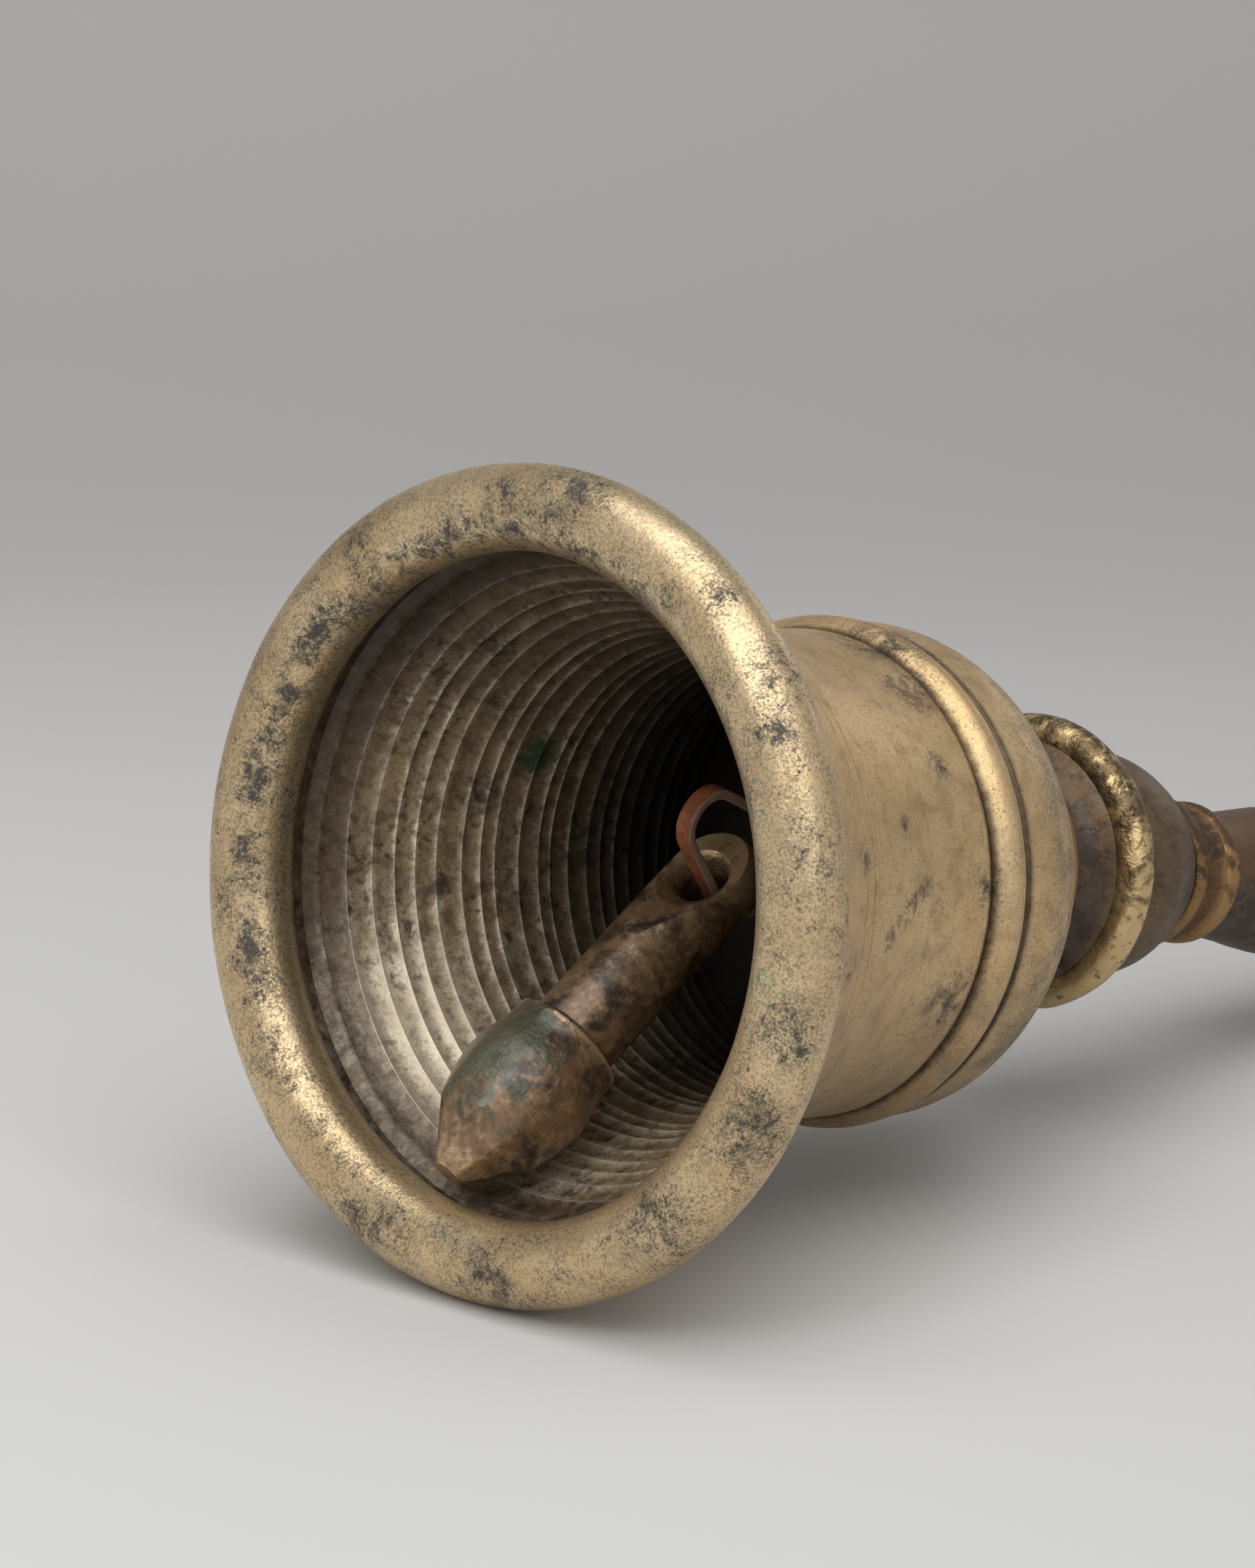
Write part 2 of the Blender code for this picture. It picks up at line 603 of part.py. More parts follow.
def wall_clearance(angle, inside, side):
    """Least distance from the clapper's lower outline to the inside of the bell."""
    tip, head = clapper_frame(angle)
    outwards = (head[1], -head[0])
    lower = []
    for radius, along in side:
        lower.append((tip[0] + along * head[0] + radius * outwards[0],
                      tip[1] + along * head[1] + radius * outwards[1]))
    least = 1.0
    for first, last in zip(inside, inside[1:]):
        for point in lower:
            least = min(least, segment_distance(point, first, last))
    for first, last in zip(lower, lower[1:]):
        for point in inside:
            least = min(least, segment_distance(point, first, last))
    return least


def resting_angle():
    """Angle of the shank to the bell's axis where the clapper lies on the wall."""
    _, inside = shell_outline()
    shrink = math.cos(math.pi / BELL_SEGMENTS)
    wall = [(radius * shrink, station) for radius, station in inside]
    side = clapper_side()
    angle = math.radians(5.0)
    step = math.radians(0.05)
    while angle < math.radians(85.0) and wall_clearance(angle + step, wall, side) > GAP:
        angle += step
    return angle


def make_clapper(parent, angle, material):
    """Clapper with its faceted bulb, stepped shank and flattened, pierced head."""
    tip, head = clapper_frame(angle)
    eye = eye_centre_point()
    place = Matrix.Translation((tip[0] - eye[0], 0.0, tip[1] - eye[1]))
    place = place @ Matrix.Rotation(math.atan2(head[0], head[1]), 4, 'Y')
    bm = turned(clapper_side(), HANDLE_SEGMENTS, False)
    bm.transform(place)
    clapper = add_object("clapper", bm, material, parent)

    reach = 3.0 * CLAPPER_SHANK_RADIUS
    run_out = math.radians(14.0)
    for name, sign in (("clapper_flat_mouth", -1.0), ("clapper_flat_crown", 1.0)):
        block = bmesh.new()
        corners = []
        start = CLAPPER_LENGTH - CLAPPER_FLAT_LENGTH
        level = 0.5 * CLAPPER_HEAD_THICKNESS
        ramp = (CLAPPER_SHANK_RADIUS - level) / math.tan(run_out)
        outline = [(CLAPPER_SHANK_RADIUS + reach, start), (CLAPPER_SHANK_RADIUS, start),
                   (level, start + ramp), (level, CLAPPER_LENGTH + reach),
                   (CLAPPER_SHANK_RADIUS + reach, CLAPPER_LENGTH + reach)]
        for across in (-reach, reach):
            corners.append([block.verts.new((sign * depth, across, along)) for depth, along in outline])
        block.faces.new(corners[0])
        block.faces.new(corners[1][::-1])
        for k in range(len(outline)):
            n = (k + 1) % len(outline)
            block.faces.new((corners[0][k], corners[1][k], corners[1][n], corners[0][n]))
        block.transform(place)
        add_boolean(clapper, add_cutter(name, block, parent), 'DIFFERENCE')

    drill = bmesh.new()
    bmesh.ops.create_cone(drill, cap_ends=True, segments=SMALL_SEGMENTS,
                          radius1=0.5 * CLAPPER_EYE_DIAMETER, radius2=0.5 * CLAPPER_EYE_DIAMETER,
                          depth=4.0 * CLAPPER_SHANK_RADIUS)
    drill.transform(place @ Matrix.Translation((0.0, 0.0, CLAPPER_EYE_STATION))
                    @ Matrix.Rotation(0.5 * math.pi, 4, 'Y'))
    add_boolean(clapper, add_cutter("clapper_eye_drill", drill, parent), 'DIFFERENCE')
    return clapper


def lying_angle():
    """Dip of the bell's axis towards the handle when lip and end knop touch the table."""
    centre = Vector((END_KNOP_CENTRE * math.sin(HANDLE_LEAN),
                     BEND_STATION + END_KNOP_CENTRE * math.cos(HANDLE_LEAN)))
    along = centre[1] - LIP_ROLL
    drop = LIP_CENTRE_RADIUS - centre[0]
    return math.atan2(drop, along) + math.asin((LIP_ROLL - END_KNOP_RADIUS) / math.hypot(along, drop))


def lay_down(root):
    """Lay the bell on its lip and end knop, with the origin under the middle of it."""
    root.rotation_euler = (0.0, 0.5 * math.pi + lying_angle(), 0.0)
    bpy.context.view_layer.update()
    graph = bpy.context.evaluated_depsgraph_get()
    corners = []
    for obj in bpy.data.objects:
        if obj.type != 'MESH' or obj.hide_render:
            continue
        mesh = obj.evaluated_get(graph).to_mesh()
        corners += [obj.matrix_world @ vert.co for vert in mesh.vertices]
    low = Vector([min(corner[k] for corner in corners) for k in range(3)])
    high = Vector([max(corner[k] for corner in corners) for k in range(3)])
    middle = 0.5 * (low + high)
    root.location = (-middle.x, -middle.y, -low.z)
    bpy.context.view_layer.update()


def main():
    """Build the bell."""
    clear_scene()
    bronze = make_material("cast bronze", (0.42, 0.27, 0.11), 0.38, 1.0)
    metals = {
        "worn": make_material("worn bronze", (0.36, 0.22, 0.09), 0.40, 1.0),
        "gold": make_material("polished bronze", (0.50, 0.31, 0.11), 0.30, 1.0),
        "dark": make_material("dark patinated bronze", (0.09, 0.07, 0.055), 0.50, 1.0),
    }
    iron = make_material("wrought iron", (0.06, 0.05, 0.045), 0.60, 1.0)
    leather = make_material("tan leather", (0.26, 0.10, 0.035), 0.70, 0.0)
    patina = make_material("clapper bronze", (0.16, 0.11, 0.055), 0.45, 1.0)

    bell = make_empty("bell_axis", None)
    handle = make_empty("handle_axis", bell, (0.0, 0.0, BEND_STATION), (0.0, HANDLE_LEAN, 0.0))
    swing = make_empty("swing_plane", bell, (0.0, 0.0, 0.0), (0.0, 0.0, SWING_ROLL))
    thong = make_empty("thong_axis", swing, (0.0, 0.0, BAR_STATION))
    eye = eye_centre_point()
    clapper = make_empty("clapper_axis", thong, (eye[0], 0.0, eye[1] - BAR_STATION))
    angle = resting_angle()

    make_shell(bell, bronze)
    make_tang(bell, iron)
    make_washer("crown_washer", CROWN_WASHER_RADIUS, CROWN_STATION - GAP - WASHER_THICKNESS, bell,
                metals["worn"])
    make_handle(bell, handle, metals)
    make_thong(thong, angle, leather)
    make_clapper(clapper, angle, patina)
    lay_down(bell)


main()
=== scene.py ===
"""Sanctus bell: the looks of a cast bronze hand bell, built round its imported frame.

The bell lies on its lip and on the knop at the end of its handle.  Sizes are in metres unless
a comment says otherwise, and stations along the bell's own axis are measured from the front of
the lip.
"""
import logging
import math
from dataclasses import dataclass, field
from enum import Enum
from typing import Any, NamedTuple

import bpy
from mathutils import Matrix, Vector
from mathutils.kdtree import KDTree


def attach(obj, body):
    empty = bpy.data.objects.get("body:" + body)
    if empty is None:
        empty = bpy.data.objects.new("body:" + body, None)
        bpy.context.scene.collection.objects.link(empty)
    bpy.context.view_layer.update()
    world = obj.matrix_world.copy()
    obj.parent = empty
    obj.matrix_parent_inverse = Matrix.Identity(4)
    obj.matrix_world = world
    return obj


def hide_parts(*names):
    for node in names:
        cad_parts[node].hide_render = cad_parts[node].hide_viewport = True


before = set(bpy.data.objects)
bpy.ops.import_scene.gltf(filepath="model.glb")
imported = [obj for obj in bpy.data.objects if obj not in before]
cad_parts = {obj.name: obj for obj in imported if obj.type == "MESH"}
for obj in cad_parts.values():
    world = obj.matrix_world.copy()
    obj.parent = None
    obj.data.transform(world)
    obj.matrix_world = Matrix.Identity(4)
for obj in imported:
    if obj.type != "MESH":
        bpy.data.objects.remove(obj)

LOG = logging.getLogger("sanctus_bell")
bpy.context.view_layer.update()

GAP = 0.0003                     # clearance between pieces that touch on the real bell
DIP = math.radians(8.332235)     # the axis dips towards the handle
BELL_PLACE = (Matrix.Translation((-0.104643, 0.0, 0.050197))
              @ Matrix.Rotation(0.5 * math.pi + DIP, 4, "Y"))
LEAN = math.radians(4.9)         # the handle above the collar is bent towards the table
ROLL = math.radians(11.3)        # the clapper's plane of swing is rolled from the vertical
SWING_PLACE = BELL_PLACE @ Matrix.Rotation(ROLL, 4, "Z")
CLAPPER_ANGLE = math.radians(45.65)    # between the resting clapper and the bell's axis
MERGE = 0.000005                 # vertices nearer to each other than this are one
MM = 0.001


class Body(str, Enum):
    """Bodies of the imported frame."""

    BELL = "bell"
    THONG = "thong"
    CLAPPER = "clapper"


class Slot(str, Enum):
    """Material slots of the record."""

    CAST = "cast_bronze"
    WORN = "worn_bronze"
    POLISHED = "polished_bronze"
    DARK = "dark_bronze"
    CLAPPER = "clapper_bronze"
    IRON = "wrought_iron"
    LEATHER = "tan_leather"


class Moulding(Enum):
    """Turned mouldings of the handle."""

    BEAD = "bead"
    COVE = "cove"
    KNOP = "knop"
    VASE = "vase"
    BALL = "ball"
    WASHER = "washer"


class Mark(NamedTuple):
    """One point of the bell's section, with what its surface is like there."""

    radius: float
    station: float
    inside: float = 0.0
    crest: float = 0.0
    grime: float = 0.0


class Stain(NamedTuple):
    """Dark or green patch: its middle in the piece's own frame and its reach, in mm."""

    x: float
    y: float
    z: float
    reach: float


class Softbox(NamedTuple):
    """Lamp: its name, place, the point that it faces, its width and depth, and its watts."""

    name: str
    at: tuple[float, float, float]
    aim: tuple[float, float, float]
    size: tuple[float, float]
    power: float


# Small tools

def linear(code: str) -> tuple[float, float, float, float]:
    """Turn an sRGB hex colour into linear values.

    Args:
        code: Colour such as "#A88A5C".

    Returns:
        Linear red, green, blue and alpha.
    """
    parts = [int(code[i:i + 2], 16) / 255.0 for i in (1, 3, 5)]
    return (*[p / 12.92 if p <= 0.04045 else ((p + 0.055) / 1.055) ** 2.4 for p in parts], 1.0)


def fill(owner: bpy.types.Node, inputs: dict[Any, Any]) -> None:
    """Set or link inputs of a node.

    Args:
        owner: The node.
        inputs: Values, levels or sockets by input name or number.
    """
    for key, value in inputs.items():
        source = value.socket if isinstance(value, Level) else value
        if isinstance(source, bpy.types.NodeSocket):
            owner.id_data.links.new(source, owner.inputs[key])
        else:
            owner.inputs[key].default_value = source


def node(tree: bpy.types.NodeTree, kind: str, inputs: dict[Any, Any] | None = None,
         **settings: Any) -> bpy.types.Node:
    """Add one node with its settings, and fill or link its inputs.

    Args:
        tree: Node tree that gets the node.
        kind: Shader node type without its prefix.
        inputs: Values, levels or sockets by input name or number.
        **settings: Properties of the node.

    Returns:
        The new node.
    """
    made = tree.nodes.new("ShaderNode" + kind)
    for name, value in settings.items():
        setattr(made, name, value)
    fill(made, inputs or {})
    return made


def lay_tools_down() -> None:
    """Leave edit mode and deselect everything."""
    if bpy.context.object and bpy.context.object.mode != "OBJECT":
        bpy.ops.object.mode_set(mode="OBJECT")
    bpy.ops.object.select_all(action="DESELECT")


def draw_line(name: str, points: list[Vector]) -> bpy.types.Object:
    """Draw edges from point to point, and stay in edit mode with all of it selected.

    Args:
        name: Name of the new piece.
        points: Places of the line's vertices.

    Returns:
        The new object.
    """
    lay_tools_down()
    bpy.ops.mesh.primitive_plane_add(size=MM, location=(0.0, 0.0, 0.0))
    piece = bpy.context.object
    piece.name = piece.data.name = name
    bpy.ops.object.mode_set(mode="EDIT")
    bpy.ops.mesh.merge(type="CENTER")
    bpy.ops.transform.translate(value=points[0])
    for before, after in zip(points, points[1:]):
        bpy.ops.mesh.extrude_vertices_move(TRANSFORM_OT_translate={"value": after - before})
    bpy.ops.mesh.select_all(action="SELECT")
    return piece


def turn(name: str, outline: list[tuple[float, float]], steps: int) -> bpy.types.Object:
    """Spin an outline of (radius, station) points round Z.

    Args:
        name: Name of the new piece.
        outline: Section of the piece, open on the axis or closed round a bore.
        steps: Segments of the full turn.

    Returns:
        The turned piece, in object mode.
    """
    piece = draw_line(name, [Vector((radius, 0.0, station)) for radius, station in outline])
    bpy.ops.mesh.spin(steps=steps, angle=2.0 * math.pi, center=(0.0, 0.0, 0.0),
                      axis=(0.0, 0.0, 1.0))
    bpy.ops.mesh.select_all(action="SELECT")
    bpy.ops.mesh.remove_doubles(threshold=MERGE)
    face_outwards()
    return piece


def face_outwards() -> None:
    """Turn all faces of the piece in edit mode outwards, and leave edit mode."""
    bpy.ops.mesh.select_all(action="SELECT")
    bpy.ops.mesh.normals_make_consistent(inside=False)
    bpy.ops.object.mode_set(mode="OBJECT")


def note(piece: bpy.types.Object, **values: list[float]) -> None:
    """Store one number a vertex under each name, for the materials to read.

    Args:
        piece: Piece that keeps the numbers.
        **values: Numbers of all vertices, by name.
    """
    for name, numbers in values.items():
        layer = piece.data.attributes.new(name, "FLOAT", "POINT")
        layer.data.foreach_set("value", numbers)


def choose(piece: bpy.types.Object) -> None:
    """Make a piece the only selected and the active one.

    Args:
        piece: The piece.
    """
    lay_tools_down()
    piece.select_set(True)
    bpy.context.view_layer.objects.active = piece


def pick(piece: bpy.types.Object, chosen: list[bool]) -> None:
    """Enter edit mode with only the chosen vertices selected.

    Args:
        piece: The piece.
        chosen: One answer for each vertex.
    """
    choose(piece)
    bpy.ops.object.mode_set(mode="EDIT")
    bpy.ops.mesh.select_all(action="DESELECT")
    bpy.ops.object.mode_set(mode="OBJECT")
    piece.data.vertices.foreach_set("select", chosen)
    bpy.ops.object.mode_set(mode="EDIT")


def cut_off(piece: bpy.types.Object, point: Vector, normal: Vector) -> None:
    """Saw off and close what lies beyond a plane.

    Args:
        piece: Piece to cut.
        point: A point of the plane.
        normal: Direction that the waste lies in.
    """
    pick(piece, [True] * len(piece.data.vertices))
    bpy.ops.mesh.bisect(plane_co=point, plane_no=normal, use_fill=True, clear_outer=True,
                        threshold=0.01 * MERGE)
    face_outwards()


def work(piece: bpy.types.Object, other: bpy.types.Object, operation: str) -> None:
    """Weld another piece on, or cut with it, and put it away.

    Args:
        piece: Piece that stays.
        other: Piece or tool that goes.
        operation: UNION or DIFFERENCE.
    """
    choose(piece)
    bpy.ops.object.modifier_add(type="BOOLEAN")
    join = piece.modifiers[-1]
    join.operation, join.solver, join.object = operation, "EXACT", other
    bpy.ops.object.modifier_apply(modifier=join.name)
    bpy.data.objects.remove(other, do_unlink=True)


def settle(piece: bpy.types.Object, place: Matrix) -> None:
    """Put a piece in its place and keep that place in its mesh.

    Args:
        piece: The piece.
        place: Its place in the scene.
    """
    choose(piece)
    piece.matrix_world = place
    bpy.ops.object.transform_apply(location=True, rotation=True, scale=True)


def roughen(piece: bpy.types.Object, grain: float, height: float) -> None:
    """Give a cast surface its slight unevenness.

    Args:
        piece: Piece to work on, already in its place.
        grain: Size of the swellings in metres.
        height: Full difference between swellings and hollows in metres.
    """
    choose(piece)
    pattern = bpy.data.textures.new(piece.name + "_unevenness", "CLOUDS")
    pattern.noise_scale = grain
    pattern.noise_depth = 3
    bpy.ops.object.modifier_add(type="DISPLACE")
    swell = piece.modifiers[-1]
    swell.texture = pattern
    swell.texture_coords = "LOCAL"
    swell.strength = height
    swell.mid_level = 0.5
    bpy.ops.object.modifier_apply(modifier=swell.name)


def smooth(piece: bpy.types.Object, degrees: float) -> None:
    """Shade a piece smooth, with edges sharper than an angle kept."""
    choose(piece)
    bpy.ops.object.shade_smooth_by_angle(angle=math.radians(degrees))


def hand_over(piece: bpy.types.Object, material: bpy.types.Material, body: Body, slot: Slot,
              *nodes: str) -> None:
    """Dress a finished piece, seat it on its body and let it stand for its CAD nodes.

    Args:
        piece: The finished piece.
        material: Its material.
        body: The body that it rides on.
        slot: Its material slot in the record; not used.
        *nodes: CAD nodes that it replaces.
    """
    piece.data.materials.clear()
    piece.data.materials.append(material)
    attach(piece, body.value)
    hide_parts(*nodes)
    LOG.info("%s: %d faces on %s", piece.name, len(piece.data.polygons), body.value)


def nearness(spot: Vector, patches: tuple[Stain, ...]) -> float:
    """How far inside the nearest patch a place in mm lies, from 0 at its edge to 1."""
    return max(0.0, *(1.0 - math.dist(spot, patch[:3]) / patch.reach for patch in patches))


def ease(share: float) -> float:
    """Smooth step from 0 to 1."""
    return 0.5 - 0.5 * math.cos(math.pi * share)


def ramp(value: float, start: float, end: float) -> float:
    """Smooth step that is 0 up to a start and 1 from an end on."""
    return ease(min(1.0, max(0.0, (value - start) / (end - start))))


def hump(distance: float, width: float) -> float:
    """Bell curve that is 1 at no distance and fades over a width."""
    return math.exp(-(distance / width) ** 2)


# Finishes

@dataclass(frozen=True)
class Level:
    """Number that varies over a surface, such as a noise, a mask or a distance.

    Sums and products of levels are levels too.
    """

    tree: bpy.types.NodeTree
    socket: bpy.types.NodeSocket

    @classmethod
    def of(cls, tree: bpy.types.NodeTree, kind: str, inputs: dict[Any, Any] | None = None,
           output: int | str = 0, **settings: Any) -> "Level":
        """Take an output of a new node.

        Args:
            tree: Node tree that gets the node.
            kind: Shader node type without its prefix.
            inputs: Values, levels or sockets by input name or number.
            output: Name or number of the output.
            **settings: Properties of the node.

        Returns:
            The level that the output gives.
        """
        return cls(tree, node(tree, kind, inputs, **settings).outputs[output])

    def __add__(self, other: Any) -> "Level":
        """Add a level or a number."""
        return Level.of(self.tree, "Math", {0: self, 1: other}, operation="ADD")

    def __mul__(self, other: Any) -> "Level":
        """Multiply by a level or a number."""
        return Level.of(self.tree, "Math", {0: self, 1: other}, operation="MULTIPLY")

    def rise(self, low: float, high: float) -> "Level":
        """Smooth step from 0 to 1 between two values of this level."""
        return Level.of(self.tree, "MapRange", {"Value": self, "From Min": low, "From Max": high},
                        interpolation_type="SMOOTHSTEP")


class Patterns:
    """Patterns in millimetres on a piece's own frame, for one material."""

    def __init__(self, tree: bpy.types.NodeTree, place: Matrix) -> None:
        """Turn Object coordinates into millimetres in the piece's frame.

        Args:
            tree: Node tree of the material.
            place: The piece's frame.
        """
        self.tree = tree
        place_node = node(tree, "Mapping", {
            "Vector": node(tree, "TexCoord").outputs["Object"],
            "Location": place.to_translation(), "Rotation": place.to_euler(),
            "Scale": (MM, MM, MM)}, vector_type="TEXTURE")
        self.mm = place_node.outputs[0]

    def axes(self) -> list[Level]:
        """Distances along the three axes of the frame, in mm."""
        spread = node(self.tree, "SeparateXYZ", {0: self.mm})
        return [Level(self.tree, output) for output in spread.outputs]

    def noted(self, *names: str) -> list[Level]:
        """Numbers that the piece stores under these names."""
        return [Level.of(self.tree, "Attribute", output="Fac", attribute_name=name)
                for name in names]

    def clouds(self, size: float, detail: float = 4.0, twist: float = 0.0) -> Level:
        """Cloudy noise, about 0.3 to 0.7.

        Args:
            size: Size of one cloud in mm.
            detail: Octaves of finer noise.
            twist: Distortion of the clouds.

        Returns:
            Level of the noise.
        """
        return Level.of(self.tree, "TexNoise", {
            "Vector": self.mm, "Scale": 1.0 / size, "Detail": detail, "Roughness": 0.6,
            "Distortion": twist})

    def layers(self, ground: Any, coats: list[tuple[Level, Any]]) -> bpy.types.NodeSocket:
        """Lay coats of colour over a ground, each where its mask is.

        Args:
            ground: First colour, as a hex code or a socket.
            coats: Pairs of mask and colour, the colour as a hex code or a socket.

        Returns:
            Colour socket.
        """
        colour = linear(ground) if isinstance(ground, str) else ground
        for mask, coat in coats:
            top = linear(coat) if isinstance(coat, str) else coat
            colour = node(self.tree, "Mix", {0: mask, 6: colour, 7: top},
                          data_type="RGBA").outputs[2]
        return colour


def new_material(name: str) -> tuple[bpy.types.Material, bpy.types.NodeTree, bpy.types.Node]:
    """Make a material with a bare Principled shader.

    Args:
        name: Name of the real material.

    Returns:
        The material, its node tree and its shader.
    """
    material = bpy.data.materials.new(name)
    material.use_nodes = True
    return material, material.node_tree, material.node_tree.nodes["Principled BSDF"]


# Bell metal, cast in sand and turned.  To the eye it is a satin gold, finely grained, that age
# has specked with black and filmed with grey, and inside it is brown with pale ring crests.  Its
# colour also carries painted shade low on the waist, in the crease inside the lip and deep
# inside, and painted light on the ring crests low on the wall.
@dataclass(frozen=True)
class CastBronze:
    """Bell metal, cast and turned: satin gold-brown, darkened in patches by age and hands.

    It reads what BellShell notes on each vertex: inside, crest of a ring with painted light low on
    the wall, grime in a groove, stain, green corrosion and soot, which is painted shade deep
    inside.  Lengths are in mm, and shaded_underside, flare and dome are where the looks of those
    parts begin and where they are full; the lower side of the waist gets painted shade.
    """

    light: str = "#E9D0A4"
    shade: str = "#D2B07C"
    warm: str = "#D0A86E"
    brown: str = "#8E7453"
    ash: str = "#8A8074"
    film_and_shade: str = "#857A6A"
    speck: str = "#4B4744"
    grime: str = "#2A221B"
    verdigris: str = "#3D9488"
    crest: str = "#F0E2C8"
    valley: str = "#9C8566"
    clay: str = "#94846C"
    rust: str = "#4B3422"
    band: str = "#37261A"
    # Colour of sooty spots and stains, and of the painted shade deep inside.
    soot: str = "#17120E"
    green: str = "#44583E"
    shaded_underside: tuple[float, float] = (-4.0, 26.0)
    flare: tuple[float, float] = (9.0, 30.0)
    dome: tuple[float, float] = (63.0, 74.0)
    grain: float = 0.42
    tool_mark: float = 0.625
    roughness: float = 0.31
    metallic: float = 0.84
    inner_dirt: float = 0.54
    relief: float = 0.06

    def make(self, place: Matrix) -> bpy.types.Material:
        """Build the material on the bell's frame.

        Args:
            place: The bell's frame.

        Returns:
            The material.
        """
        material, tree, shader = new_material("cast bell bronze, worn satin")
        pat = Patterns(tree, place)
        inside, crest, grime, stained, green, soot = pat.noted(
            "inside", "crest", "grime", "stain", "green", "soot")
        across, _, station = pat.axes()
        # Painted shade: the lower side of the waist is painted darker and warmer, and its top
        # lighter.
        under = across.rise(*self.shaded_underside)
        waist = station.rise(*self.flare)
        dome = station.rise(*self.dome)
        plain = waist * -0.6 + 1.0
        ragged = pat.clouds(1.6, 5.0).rise(0.25, 0.75)
        # The mould's sand left a grain of about 0.1 mm, drawn coarser here so that it shows.
        grain = pat.clouds(self.grain)
        blurred = stained * pat.clouds(2.6, 4.0, 0.8).rise(0.25, 0.65)
        # Specks crowd together in patches of the lip, in the stains and on the dome.
        crowd = (pat.clouds(5.0, 5.0, 0.5).rise(0.36, 0.66) * (plain * 0.12)
                 + (blurred * 0.19 + dome * 0.07))
        fine = (pat.clouds(0.30, 3.0) + crowd).rise(0.57, 0.72)
        coarse = (pat.clouds(1.0, 6.0, 0.4) + crowd).rise(0.66, 0.76)
        pinholes = (pat.clouds(0.4, 1.0) + crowd).rise(0.67, 0.78)
        speck = fine * 0.65 + coarse * 0.5
        # Dark patches on the dome, and painted shade on the lower side of the waist.
        patches = dome * pat.clouds(5.0, 5.0, 0.6).rise(0.3, 0.62) + under * waist
        film_and_shade = (pat.clouds(7.0, 6.0, 0.5).rise(0.48, 0.68) * 0.2
                + (patches * 0.45 + blurred * 0.35))
        groove = Level.of(tree, "TexNoise", {
            "W": station, "Scale": 1.0 / self.tool_mark, "Detail": 2.0}, noise_dimensions="1D")
        outer = pat.layers(self.light, [
            (pat.clouds(16.0).rise(0.35, 0.68) * 0.6, self.shade),
            # More warm tone low on the waist and less on top: painted shade below, painted light
            # above.
            (waist * (under * 0.4 + 0.35), self.warm),
            (pat.clouds(3.5, 5.0, 0.5).rise(0.45, 0.70) * (waist * 0.35), self.brown),
            (grain.rise(0.42, 0.66) * (plain * 0.55), self.ash),
            (groove.rise(0.5, 0.75) * (waist * 0.15), self.brown),
            (film_and_shade, self.film_and_shade),
            (speck * 0.85, self.speck),
            (pinholes * 0.5, self.speck),
            ((blurred * waist).rise(0.15, 0.7) * 0.38, self.grime),
            ((grime + ragged * 0.2).rise(0.25, 1.1) * 0.9, self.grime),
            (pat.clouds(0.8, 1.0).rise(0.60, 0.66) * green, self.verdigris)])
        broken = pat.clouds(8.0, 5.0).rise(0.35, 0.62) * 0.6 + 0.4
        # Pale ring crests, brightened low on the wall by painted light.
        ridge_and_painted_light = (crest + ragged * 0.6).rise(0.5, 1.2) * broken
        sooty = pat.clouds(8.0).rise(0.42, 0.6) * 0.75
        inner = pat.layers(self.valley, [
            (ridge_and_painted_light, self.crest),
            (pat.clouds(9.0, 5.0, 0.8).rise(0.50, 0.64) * 0.6, self.clay),
            (pat.clouds(2.4, 6.0, 0.4).rise(0.44, 0.64) * 0.55, self.rust),
            (grain.rise(0.46, 0.66) * 0.4, self.rust),
            (pat.clouds(1.4, 6.0).rise(0.50, 0.66) * sooty, self.soot),
            ((green + ragged * 0.5).rise(0.55, 0.95), self.green),
            ((blurred + ragged * 0.4).rise(0.4, 1.0) * 0.7, self.soot),
            # Painted highlight: where painted light lifts the crest past 1, the crests go paler
            # still.
            ((crest + ragged * 0.5).rise(1.0, 2.1) * 0.8, self.crest),
            # Dark brown band inside the lip: partly dirt, partly painted shade in the crease behind
            # the lip.
            (grime * (ragged * 0.35 + 0.65), self.band),
            # Painted shade, deepest far inside and under the top of the wall.
            (soot, self.soot)])
        dull = film_and_shade * 0.2 + (speck * 0.18 + ((waist + inside) * 0.10 + self.roughness))
        dirt = inside * (ridge_and_painted_light * -0.4 + self.inner_dirt)
        bare = Level.of(tree, "Math", {0: self.metallic, 1: dirt + speck * 0.3},
                        operation="SUBTRACT", use_clamp=True)
        skin = pat.clouds(1.2, 5.0) * 1.2 + grain * (plain * 1.6)
        bump = node(tree, "Bump", {"Height": skin + speck * -0.25 + groove * 0.4,
                                   "Strength": 0.55, "Distance": self.relief * MM})
        fill(shader, {"Base Color": pat.layers(outer, [(inside, inner)]), "Roughness": dull,
                      "Metallic": bare, "Normal": bump.outputs[0]})
        return material


